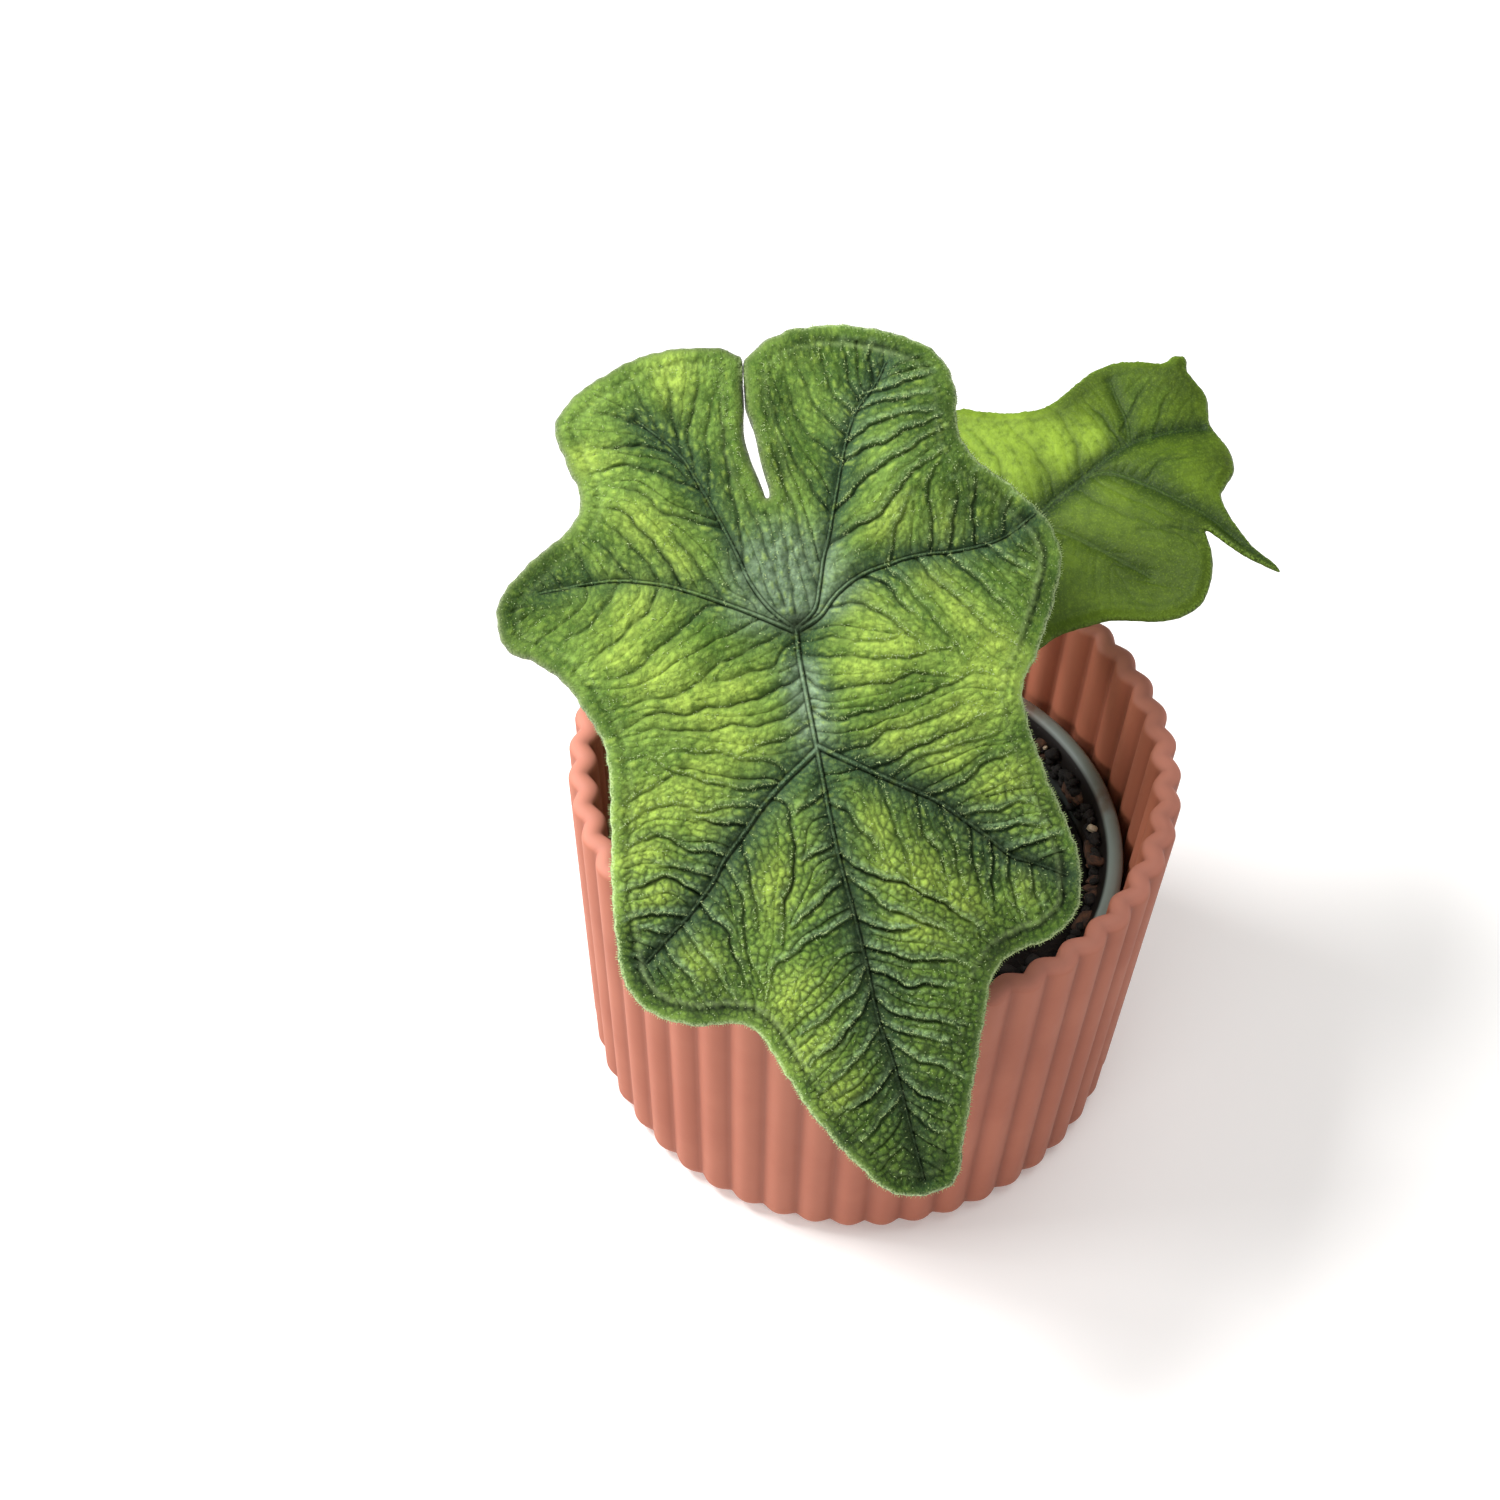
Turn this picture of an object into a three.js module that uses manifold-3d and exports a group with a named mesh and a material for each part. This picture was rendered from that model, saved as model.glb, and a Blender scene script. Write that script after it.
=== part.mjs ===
import * as THREE from 'three';
import { mergeVertices } from 'three/addons/utils/BufferGeometryUtils.js';
import Module from 'manifold-3d';

// A young potted alocasia: a fluted pot, the nursery pot of soil that stands in
// it, and a plant with one large and one small lobed leaf. Millimetres, +Z up,
// with the origin in the middle of the pot's flat underside.

// Fluted pot
const POT_RADIUS = 41;
const POT_HEIGHT = 61.5;
const POT_FOOT_RADIUS = 39.2;
const POT_FLAT_RADIUS = 35.6;
const POT_FOOT_ROUND = 3.6;
const POT_ROUND_INSET = 1.2;
const POT_WALL = 2.8;
const POT_FLOOR = 3;
const RIM_ROUND = 0.8;
const FLUTES = 48;
const SIDES_PER_FLUTE = 4;
const OUTER_FLUTE_DEPTH = 0.9;
const INNER_FLUTE_DEPTH = 1.1;
const FLUTE_PHASE = THREE.MathUtils.degToRad(32.5);

// Nursery pot, pushed to one side inside the fluted pot
const GAP = 0.3;
const NURSERY_OFFSET = 2.4;
const NURSERY_LIP_RADIUS = 33.2;
const NURSERY_HEIGHT = 40;
const NURSERY_TOP_RADIUS = 31.2;
const NURSERY_FOOT_RADIUS = 27.4;
const NURSERY_WALL = 0.9;
const NURSERY_LIP_HEIGHT = 1.9;
const NURSERY_SEGMENTS = 64;
const DRAIN_HOLES = 6;
const DRAIN_RADIUS = 2.4;
const DRAIN_SIDES = 14;
const DRAIN_CIRCLE = NURSERY_FOOT_RADIUS - 6;
const NURSERY_BASE = POT_FLOOR + GAP;
const NURSERY_TOP = NURSERY_BASE + NURSERY_HEIGHT;

// Soil
const SOIL_TOP = 37;
const SOIL_LUMP = 0.7;
const SOIL_SPOKES = 44;
const SOIL_SHOULDER = 2;
const SOIL_RING_RADII = [24.5, 20, 15.5, 11, 6.5, 2.5];
const BARK_CHIPS = 12;
const BARK_SIZE = [6.5, 3.4, 2.6];
const BARK_NEAREST = 11;
const BARK_FARTHEST = 24;
const BARK_SEED = 11;

// Stem base, a short corm half sunk in the soil
const STEM = new THREE.Vector2(3.5, 4.9);
const STEM_RADIUS = 5.8;
const STEM_BOTTOM = 29;
const STEM_TOP = 41;
const STEM_SEGMENTS = 28;
const PETIOLE_SOCKET = 36;

// Blades
const BLADE = 0.8;
const JUNCTION_RADIUS = 2.4;
const JUNCTION_BOSS = 1.5;
const BOSS_REACH = 7;
const FUNNEL_REACH = 8;
const EDGE_DROP = 0.08;

// Five soft waves around a blade, rising from LOBE_WAVE_START to full height
const LOBE_WAVES = 5;
const LOBE_WAVE_TURN = 0.4;
const LOBE_WAVE_START = 8;
const LOBE_WAVE_FULL = 36;

// Grooves over the main veins, puckers between them, and ribs under them
const GROOVE_DEPTH = 0.35;
const GROOVE_WIDTH = 1.4;
const PUCKER_HEIGHT = 0.35;
const PUCKER_START = 2.5;
const RIB_SIDES = 5;
const RIB_STEP = 6;
const RIB_START = 0.04;
const RIB_SPAN = 0.9;
const RIB_TAPER = 0.65;
const RIB_SINK = 0.55;

// The two back lobes stand apart by the sinus, one a little above the other
const SINUS_OPENING = 0.3;
const SINUS_WIDENING = 1.8;
const SINUS_WIDEST = 0.6;
const SINUS_WIDE_PART = 0.12;
const SINUS_FADE = 14;
const LOBE_STEP = 0.5;

// Each outline is a list of angle from the tip in degrees, counter-clockwise
// seen from above the blade, and radius from the junction of the veins.
const LARGE_LEAF = {
  junction: new THREE.Vector3(-11.6, -10.5, 99),
  tip: new THREE.Vector3(0.216, -0.781, -0.586),
  face: new THREE.Vector3(0, -0.6, 0.8),
  spokes: 104,
  rings: [0.12, 0.26, 0.4, 0.54, 0.67, 0.79, 0.9, 1],
  sinusRing: 3,
  outline: [
    [-178.5, 34.8], [-175, 36.3], [-169, 37.4], [-161, 38.6], [-149, 39.3], [-141.5, 38.6],
    [-137, 34.7], [-133, 31], [-126, 30], [-117, 32.8], [-109, 35.8], [-103, 36.5],
    [-97, 35.1], [-93, 31.3], [-87, 28.5], [-73, 26.9], [-65, 27.9], [-53, 33.3],
    [-45, 39.7], [-37, 47.5], [-31, 49.8], [-25, 49.5], [-19, 48.2], [-15.5, 49.6],
    [-8.7, 59.1], [-3, 67.4], [0, 70.5], [4, 71], [6, 69.7], [8, 64.9],
    [15.4, 52.3], [19.5, 48.1], [23.5, 47.4], [30, 48.8], [35.5, 48], [41.5, 43.4],
    [49, 35.2], [57, 30.3], [65, 28.1], [75.5, 29.4], [92, 33], [101, 33.8],
    [111, 32.1], [121, 30.3], [127.5, 30.4], [131.5, 31.9], [135.5, 34.9], [140, 37.3],
    [147, 38.4], [159, 38.2], [169, 37.4], [177, 35.2], [181.5, 34.3],
  ],
  veins: [
    [[0, 0], [13.5, -0.4], [33, 0.2], [58, 2.3], [68, 2.9]],
    [[0, 0], [-4.6, -6], [-8.6, -17.4], [-10, -30.5]],
    [[0, 0], [-4.9, 8.6], [-5.6, 21], [-6.9, 30.5]],
    [[0, 0], [-11.4, -3.5], [-21.8, -8.9], [-29.5, -15]],
    [[0, 0], [-10.8, 6.1], [-23.5, 11], [-31.5, 16.8]],
    [[14.5, -0.4], [25.7, -13], [29.7, -17.5], [36, -25]],
    [[14.5, -0.4], [21.9, 8.4], [30.6, 19], [35.4, 26.4]],
  ],
  veinRadius: 1,
  lobeWave: 1.3,
  bend: (a, b) => -0.0036 * b * b - 0.0024 * Math.max(a, 0) ** 2 - 0.0042 * Math.min(a, 0) ** 2,
  funnel: 2.2,
};

// The small leaf arches over along its midrib from ARCH_START, least on its left side.
const ARCH = 0.035;
const ARCH_START = 13;
const LEFT_SIDE_ARCH = 0.2;
const SMALL_LEAF = {
  junction: new THREE.Vector3(20, 22.4, 84.1),
  tip: new THREE.Vector3(0.879, 0.41, 0.242),
  face: new THREE.Vector3(-0.158, -0.227, 0.961),
  spokes: 78,
  rings: [0.18, 0.36, 0.52, 0.68, 0.84, 1],
  sinusRing: 2,
  outline: [
    [-178, 15.5], [-172, 18.5], [-162, 21.5], [-150, 23], [-138, 22.8], [-126, 20.6],
    [-105, 16.9], [-95, 16.3], [-85, 17.3], [-67, 22.2], [-56, 24.3], [-43, 23.6],
    [-32, 22], [-25, 23], [-18, 24.6], [-10, 27.6], [-4, 28.3], [2, 28.6],
    [7, 28.2], [12, 30.4], [19, 31.6], [23, 31.8], [26, 32.6], [28.5, 29.8],
    [36, 27.9], [45, 25], [51, 20.8], [57, 18], [66, 17.1], [77, 17.4],
    [92, 20.9], [106, 23], [120, 24.2], [134, 24], [148, 22.6], [162, 20.4],
    [172, 18], [182, 15.5],
  ],
  veins: [
    [[0, 0], [7, 2], [12, 2], [17.3, -2.5], [20.2, -9.3]],
    [[10, 2.2], [16.8, 3.3], [23, 4], [27.5, 3.4]],
    [[13.5, 2.8], [16.5, 6.5], [18.3, 13.5]],
    [[0, 0], [3.5, -7.2], [8.7, -17.5]],
    [[5, 1.5], [10.4, -6.9], [16.5, -13]],
    [[0, 0], [-5, 8], [-8, 17]],
    [[0, 0], [-10, -7], [-15, -12]],
  ],
  veinRadius: 0.8,
  lobeWave: 0.6,
  bend: (a, b) => {
    const share = 1 - (1 - LEFT_SIDE_ARCH) * THREE.MathUtils.smoothstep(b, 3, 16);
    return (-ARCH / 2) * Math.max(a - ARCH_START, 0) ** 2 * share
      - 0.005 * Math.min(b + 2, 0) ** 2 - 0.004 * Math.min(a, 0) ** 2;
  },
  funnel: 0.8,
};

// Drip tip of the small leaf: its path along the blade, and its half width and half thickness
const DRIP_TIP = [[17.5, -4.5], [20.3, -8.7], [21.7, -11.6], [22.4, -14.8], [24.6, -20.3]];
const DRIP_TIP_HALF_WIDTH = 2.1;
const DRIP_TIP_HALF_THICKNESS = 0.7;

// Petioles, from the stem base to the back of each blade
const LARGE_PETIOLE = {
  leaf: LARGE_LEAF,
  foot: new THREE.Vector2(1.6, 3.4),
  middle: [new THREE.Vector3(0.6, 2.6, 58), new THREE.Vector3(-4.6, 0.2, 78)],
  footRadius: 2.2,
  middleRadius: 1.7,
  headRadius: 1.9,
};
const SMALL_PETIOLE = {
  leaf: SMALL_LEAF,
  foot: new THREE.Vector2(5.4, 6.4),
  middle: [new THREE.Vector3(8.8, 9.6, 54), new THREE.Vector3(15.6, 17.2, 68)],
  footRadius: 2,
  middleRadius: 1.35,
  headRadius: 1.5,
};
const PETIOLE_NECK = 5;
const PETIOLE_SIDES = 10;
const PETIOLE_STEPS = 14;

const wasm = await Module();
wasm.setup();

// Repeatable random numbers between 0 and 1
function randomNumbers(seed) {
  let state = seed;
  return () => {
    state = (state * 16807) % 2147483647;
    return state / 2147483647;
  };
}

// Only positions, with shared corners
function mergedCopy(geometry) {
  const copy = geometry.clone();
  copy.deleteAttribute('normal');
  copy.deleteAttribute('uv');
  return mergeVertices(copy, 1e-4);
}

function toSolid(geometry) {
  const merged = mergedCopy(geometry);
  return new wasm.Manifold(new wasm.Mesh({
    numProp: 3,
    vertProperties: new Float32Array(merged.attributes.position.array),
    triVerts: new Uint32Array(merged.index.array),
  }));
}

function fromSolid(solid) {
  const mesh = solid.getMesh();
  const geometry = new THREE.BufferGeometry();
  geometry.setAttribute('position', new THREE.BufferAttribute(mesh.vertProperties, 3));
  geometry.setIndex(new THREE.BufferAttribute(mesh.triVerts, 1));
  return geometry;
}

// A geometry from points and triangles, turned so that its faces point out
function bodyGeometry(points, triangles) {
  let volume = 0;
  for (const [i, j, k] of triangles) {
    volume += points[i].dot(new THREE.Vector3().crossVectors(points[j], points[k]));
  }
  const order = volume > 0 ? triangles : triangles.map(([i, j, k]) => [i, k, j]);
  const geometry = new THREE.BufferGeometry().setFromPoints(points);
  geometry.setIndex(order.flat());
  return geometry;
}

// Closed rings of points joined one to the next, and closed by a point at each end
function loft(rings, startPoint, endPoint) {
  const count = rings[0].length;
  const points = [startPoint, ...rings.flat(), endPoint];
  const at = (ring, side) => 1 + ring * count + (side % count);
  const triangles = [];
  for (let side = 0; side < count; side += 1) {
    triangles.push([0, at(0, side + 1), at(0, side)]);
    triangles.push([points.length - 1, at(rings.length - 1, side), at(rings.length - 1, side + 1)]);
    for (let ring = 0; ring + 1 < rings.length; ring += 1) {
      triangles.push([at(ring, side), at(ring, side + 1), at(ring + 1, side + 1)]);
      triangles.push([at(ring, side), at(ring + 1, side + 1), at(ring + 1, side)]);
    }
  }
  return bodyGeometry(points, triangles);
}

// Tapered stem along a curve; radius(t) gives the two half axes of its section
function taperedStem(curve, steps, sides, radius, grow = 0) {
  const frames = curve.computeFrenetFrames(steps, false);
  const rings = [];
  for (let step = 0; step <= steps; step += 1) {
    const centre = curve.getPointAt(step / steps);
    const [wide, thick] = radius(step / steps);
    rings.push(Array.from({ length: sides }, (_, side) => {
      const angle = (side / sides) * 2 * Math.PI;
      return centre.clone()
        .addScaledVector(frames.normals[step], (wide + grow) * Math.cos(angle))
        .addScaledVector(frames.binormals[step], (thick + grow) * Math.sin(angle));
    }));
  }
  return loft(rings, curve.getPointAt(0), curve.getPointAt(1));
}

// Fluted pot: convex flutes outside, and inside the same wave half a flute on
function outerPotGeometry() {
  const sides = FLUTES * SIDES_PER_FLUTE;
  const taper = (POT_RADIUS - POT_FOOT_RADIUS) / (POT_HEIGHT - POT_FOOT_ROUND);
  const outerAt = (z) => POT_RADIUS - taper * (POT_HEIGHT - z);
  const innerFoot = POT_FLOOR + POT_FOOT_ROUND;
  const ring = (radius, z, depth, share) => Array.from({ length: sides }, (_, side) => {
    const turn = (side / sides) * 2 * Math.PI;
    const flute = share(Math.abs(Math.sin((FLUTES / 2) * turn)));
    const angle = FLUTE_PHASE + turn;
    const r = radius - depth * flute;
    return new THREE.Vector3(r * Math.cos(angle), r * Math.sin(angle), z);
  });
  const outside = (radius, z, strength = 1) => (
    ring(radius, z, OUTER_FLUTE_DEPTH * strength, (crest) => 1 - crest)
  );
  const inside = (radius, z, strength = 1) => (
    ring(radius, z, INNER_FLUTE_DEPTH * strength, (crest) => Math.sqrt(1 - crest * crest))
  );
  const innerRim = POT_RADIUS - POT_WALL;
  const rings = [
    outside(POT_FLAT_RADIUS, 0, 0),
    outside(POT_FOOT_RADIUS - POT_ROUND_INSET, POT_ROUND_INSET, 0.5),
    outside(POT_FOOT_RADIUS, POT_FOOT_ROUND),
    outside(outerAt(POT_HEIGHT - RIM_ROUND), POT_HEIGHT - RIM_ROUND),
    outside(POT_RADIUS - RIM_ROUND, POT_HEIGHT),
    inside(innerRim + RIM_ROUND, POT_HEIGHT),
    inside(innerRim, POT_HEIGHT - RIM_ROUND),
    inside(outerAt(innerFoot) - POT_WALL, innerFoot),
    inside(POT_FOOT_RADIUS - POT_WALL - POT_ROUND_INSET, POT_FLOOR + POT_ROUND_INSET, 0.4),
    inside(POT_FLAT_RADIUS - POT_WALL, POT_FLOOR, 0),
  ];
  return loft(rings, new THREE.Vector3(0, 0, 0), new THREE.Vector3(0, 0, POT_FLOOR));
}

// Lathe profile of radius and height pairs, turned about a vertical axis
function turned(profile, segments, x, y) {
  const points = profile.map(([radius, z]) => new THREE.Vector2(radius, z));
  const geometry = new THREE.LatheGeometry(points, segments);
  geometry.rotateX(Math.PI / 2);
  geometry.translate(x, y, 0);
  return geometry;
}

// Inner radius of the nursery pot at a height
function nurseryInside(z) {
  const share = (z - NURSERY_BASE) / NURSERY_HEIGHT;
  return NURSERY_FOOT_RADIUS - NURSERY_WALL + share * (NURSERY_TOP_RADIUS - NURSERY_FOOT_RADIUS);
}

function nurseryPotGeometry() {
  const underLip = NURSERY_TOP - NURSERY_LIP_HEIGHT;
  const profile = [
    [0, NURSERY_BASE], [NURSERY_FOOT_RADIUS - 0.8, NURSERY_BASE],
    [NURSERY_FOOT_RADIUS, NURSERY_BASE + 0.8],
    [nurseryInside(underLip) + NURSERY_WALL, underLip],
    [NURSERY_LIP_RADIUS - 0.3, underLip + 0.1], [NURSERY_LIP_RADIUS, underLip + 0.8],
    [NURSERY_LIP_RADIUS - 0.6, NURSERY_TOP - 0.1], [NURSERY_LIP_RADIUS - 1.3, NURSERY_TOP],
    [NURSERY_TOP_RADIUS - 0.2, NURSERY_TOP - 0.4], [nurseryInside(underLip), underLip],
    [nurseryInside(NURSERY_BASE + 2), NURSERY_BASE + 2],
    [NURSERY_FOOT_RADIUS - 1.8, NURSERY_BASE + NURSERY_WALL], [0, NURSERY_BASE + NURSERY_WALL],
  ];
  let pot = toSolid(turned(profile, NURSERY_SEGMENTS, NURSERY_OFFSET, 0));
  for (let hole = 0; hole < DRAIN_HOLES; hole += 1) {
    const angle = ((hole + 0.5) / DRAIN_HOLES) * 2 * Math.PI;
    const drill = new THREE.CylinderGeometry(DRAIN_RADIUS, DRAIN_RADIUS, 4 * NURSERY_WALL, DRAIN_SIDES);
    drill.rotateX(Math.PI / 2);
    drill.translate(
      NURSERY_OFFSET + DRAIN_CIRCLE * Math.cos(angle),
      DRAIN_CIRCLE * Math.sin(angle),
      NURSERY_BASE,
    );
    pot = pot.subtract(toSolid(drill));
  }
  return fromSolid(pot);
}

// Uneven top of the soil
function soilHeight(x, y) {
  return SOIL_TOP + SOIL_LUMP * (Math.sin(0.41 * x + 1.3) * Math.cos(0.37 * y)
    + 0.6 * Math.sin(0.83 * y + 0.5 * x) + 0.4 * Math.cos(0.9 * x - 0.6 * y));
}

function soilGeometry(stemRoom) {
  const ring = (radius, height) => Array.from({ length: SOIL_SPOKES }, (_, spoke) => {
    const angle = (spoke / SOIL_SPOKES) * 2 * Math.PI;
    const x = NURSERY_OFFSET + radius * Math.cos(angle);
    const y = radius * Math.sin(angle);
    return new THREE.Vector3(x, y, height ?? soilHeight(x, y));
  });
  const bottom = NURSERY_BASE + NURSERY_WALL + GAP;
  const edge = nurseryInside(SOIL_TOP - SOIL_SHOULDER) - GAP;
  const rings = [
    ring(NURSERY_FOOT_RADIUS - 2.2 - GAP, bottom),
    ring(nurseryInside(bottom + 2) - GAP, bottom + 2),
    ring(edge, SOIL_TOP - SOIL_SHOULDER), ring(edge - 1.2),
    ...SOIL_RING_RADII.map((radius) => ring(radius)),
  ];
  const top = new THREE.Vector3(NURSERY_OFFSET, 0, soilHeight(NURSERY_OFFSET, 0));
  let soil = toSolid(loft(rings, new THREE.Vector3(NURSERY_OFFSET, 0, bottom), top));
  const random = randomNumbers(BARK_SEED);
  for (let chip = 0; chip < BARK_CHIPS; chip += 1) {
    const angle = ((chip + 0.6 * random()) / BARK_CHIPS) * 2 * Math.PI;
    const radius = BARK_NEAREST + (BARK_FARTHEST - BARK_NEAREST) * random();
    const x = NURSERY_OFFSET + radius * Math.cos(angle);
    const y = radius * Math.sin(angle);
    const size = BARK_SIZE.map((side) => side * (0.7 + 0.6 * random()));
    const block = new THREE.BoxGeometry(...size);
    block.rotateX(0.5 * (random() - 0.5));
    block.rotateZ(Math.PI * random());
    block.translate(x, y, soilHeight(x, y) + 0.15 * size[2]);
    soil = soil.add(toSolid(block));
  }
  return fromSolid(soil.subtract(stemRoom));
}

function stemBaseGeometry(grow) {
  const bulge = STEM_RADIUS + grow;
  const profile = [
    [0, STEM_BOTTOM - grow], [0.55 * bulge, STEM_BOTTOM - grow], [0.95 * bulge, STEM_BOTTOM + 3],
    [bulge, STEM_BOTTOM + 7], [0.97 * bulge, STEM_BOTTOM + 9], [0.88 * bulge, STEM_TOP - 0.8 + grow],
    [0.74 * bulge, STEM_TOP + grow], [0, STEM_TOP + grow],
  ];
  return turned(profile, STEM_SEGMENTS, STEM.x, STEM.y);
}

// Height of a blade above its own flat plane, without its fine relief
function bladeForm(leaf, a, b) {
  const reach = Math.hypot(a, b);
  const turn = Math.atan2(b, a);
  const wave = leaf.lobeWave * Math.cos(LOBE_WAVES * turn + LOBE_WAVE_TURN)
    * THREE.MathUtils.smoothstep(reach, LOBE_WAVE_START, LOBE_WAVE_FULL);
  return leaf.bend(a, b) + wave - leaf.funnel * Math.exp(-((reach / FUNNEL_REACH) ** 2));
}

// Distance from a point of the blade to its nearest main vein
function veinDistance(leaf, a, b) {
  const point = new THREE.Vector3(a, b, 0);
  const nearest = new THREE.Vector3();
  let best = Infinity;
  for (const vein of leaf.veins) {
    for (let i = 0; i + 1 < vein.length; i += 1) {
      const line = new THREE.Line3(new THREE.Vector3(...vein[i], 0), new THREE.Vector3(...vein[i + 1], 0));
      line.closestPointToPoint(point, true, nearest);
      best = Math.min(best, nearest.distanceTo(point));
    }
  }
  return best;
}

// Sunken main veins and the puckered blade between them
function bladeRelief(leaf, a, b) {
  const distance = veinDistance(leaf, a, b);
  const open = 1 - Math.exp(-((distance / PUCKER_START) ** 2));
  const pucker = PUCKER_HEIGHT * Math.sin(1.15 * a + 0.5 * Math.sin(0.3 * b)) * Math.cos(0.35 * b);
  return open * pucker - GROOVE_DEPTH * Math.exp(-((distance / GROOVE_WIDTH) ** 2));
}

// A point given along and across the blade and above its plane, as a place in space
function onBlade(leaf, a, b, height) {
  const across = new THREE.Vector3().crossVectors(leaf.face, leaf.tip);
  return leaf.junction.clone().addScaledVector(leaf.tip, a).addScaledVector(across, b)
    .addScaledVector(leaf.face, height);
}

// Radius of the outline at an angle, on a smooth curve through the listed points
function outlineRadius(outline, angle) {
  let i = 0;
  while (i + 2 < outline.length && outline[i + 1][0] < angle) i += 1;
  const slope = (k) => {
    const low = outline[Math.max(k - 1, 0)];
    const high = outline[Math.min(k + 1, outline.length - 1)];
    return (high[1] - low[1]) / (high[0] - low[0]);
  };
  const span = outline[i + 1][0] - outline[i][0];
  const t = (angle - outline[i][0]) / span;
  const u = 1 - t;
  return outline[i][1] * (1 + 2 * t) * u * u + outline[i + 1][1] * (1 + 2 * u) * t * t
    + span * t * u * (slope(i) * u - slope(i + 1) * t);
}

// Angles of the spokes, spread evenly along the edge of the blade
function spokeAngles(leaf) {
  const first = leaf.outline[0][0];
  const last = leaf.outline[leaf.outline.length - 1][0];
  const edge = (angle) => new THREE.Vector2(1, 0)
    .rotateAround(new THREE.Vector2(), THREE.MathUtils.degToRad(angle))
    .multiplyScalar(outlineRadius(leaf.outline, angle));
  const samples = 1440;
  const lengths = [0];
  for (let i = 1; i <= samples; i += 1) {
    const step = (last - first) / samples;
    lengths.push(lengths[i - 1] + edge(first + step * i).distanceTo(edge(first + step * (i - 1))));
  }
  return Array.from({ length: leaf.spokes + 1 }, (_, spoke) => {
    const target = (lengths[samples] * spoke) / leaf.spokes;
    const i = Math.max(lengths.findIndex((length) => length >= target - 1e-9), 1);
    const part = (target - lengths[i - 1]) / (lengths[i] - lengths[i - 1]);
    return first + ((last - first) * (i - 1 + part)) / samples;
  });
}

// Blade: spokes from the junction to the edge, closed up to the sinus and slit beyond it
function bladeGeometry(leaf) {
  const angles = spokeAngles(leaf);
  const spokes = leaf.spokes;
  const points = [];
  const triangles = [];
  const addPoint = (a, b, sinusSide, edge) => {
    const form = bladeForm(leaf, a, b);
    const top = form + bladeRelief(leaf, a, b) + sinusSide * LOBE_STEP;
    const reach = Math.hypot(a, b);
    const boss = JUNCTION_BOSS * (1 - THREE.MathUtils.smoothstep(reach, JUNCTION_RADIUS, BOSS_REACH));
    const flatBoss = reach <= JUNCTION_RADIUS + 0.01;
    const under = flatBoss ? -leaf.funnel - BLADE - JUNCTION_BOSS : top - BLADE - boss;
    points.push(onBlade(leaf, a, b, edge ? top - EDGE_DROP : top), onBlade(leaf, a, b, under));
    return points.length - 2;
  };
  const centre = addPoint(0, 0, 0, false);
  const grid = [0, ...leaf.rings].map((share, ring) => {
    const slit = ring > leaf.sinusRing;
    const row = angles.map((degrees, spoke) => {
      if (spoke === spokes && !slit) return null;
      const angle = THREE.MathUtils.degToRad(degrees);
      const radius = JUNCTION_RADIUS
        + share * (outlineRadius(leaf.outline, degrees) - JUNCTION_RADIUS);
      const nearSlit = Math.min(degrees - angles[0], angles[spokes] - degrees);
      const side = degrees < 0 ? -1 : 1;
      const fade = slit ? 1 - THREE.MathUtils.smoothstep(nearSlit, 0, SINUS_FADE) : 0;
      const widening = Math.exp(-(((share - SINUS_WIDEST) / SINUS_WIDE_PART) ** 2));
      const open = fade * SINUS_OPENING * (1 + SINUS_WIDENING * widening);
      const a = radius * Math.cos(angle) + open * side * Math.sin(angle);
      const b = radius * Math.sin(angle) - open * side * Math.cos(angle);
      return addPoint(a, b, fade * side, ring === leaf.rings.length);
    });
    if (!slit) row[spokes] = row[0];
    return row;
  });
  const quad = (p, q, r, s) => {
    triangles.push([p, q, r], [p, r, s]);
  };
  for (let spoke = 0; spoke < spokes; spoke += 1) {
    triangles.push([centre, grid[0][spoke], grid[0][spoke + 1]]);
    triangles.push([centre + 1, grid[0][spoke + 1] + 1, grid[0][spoke] + 1]);
    for (let ring = 0; ring + 1 < grid.length; ring += 1) {
      const [p, q] = [grid[ring][spoke], grid[ring][spoke + 1]];
      const [s, r] = [grid[ring + 1][spoke], grid[ring + 1][spoke + 1]];
      quad(p, s, r, q);
      triangles.push([p + 1, r + 1, s + 1], [p + 1, q + 1, r + 1]);
    }
    const [s, r] = [grid[grid.length - 1][spoke], grid[grid.length - 1][spoke + 1]];
    quad(s, s + 1, r + 1, r);
  }
  for (let ring = leaf.sinusRing; ring + 1 < grid.length; ring += 1) {
    const [p, s] = [grid[ring][0], grid[ring + 1][0]];
    quad(p, p + 1, s + 1, s);
    const [q, r] = [grid[ring][spokes], grid[ring + 1][spokes]];
    quad(q, r, r + 1, q + 1);
  }
  return bodyGeometry(points, triangles);
}

// Main veins standing out under the blade as tapered ribs
function ribGeometry(leaf, vein) {
  const flat = new THREE.SplineCurve(vein.map(([a, b]) => new THREE.Vector2(a, b)));
  const steps = Math.max(4, Math.round(flat.getLength() / RIB_STEP));
  const path = Array.from({ length: steps + 1 }, (_, step) => {
    const { x: a, y: b } = flat.getPointAt(RIB_START + (RIB_SPAN * step) / steps);
    const sink = RIB_SINK * leaf.veinRadius * (1 - RIB_TAPER * (step / steps));
    return onBlade(leaf, a, b, bladeForm(leaf, a, b) - BLADE - sink);
  });
  return taperedStem(new THREE.CatmullRomCurve3(path), steps, RIB_SIDES, (t) => {
    const radius = leaf.veinRadius * (1 - RIB_TAPER * t);
    return [radius, radius];
  });
}

function leafBlade(leaf) {
  let blade = toSolid(bladeGeometry(leaf));
  for (const vein of leaf.veins) {
    blade = blade.add(toSolid(ribGeometry(leaf, vein)));
  }
  return blade;
}

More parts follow.
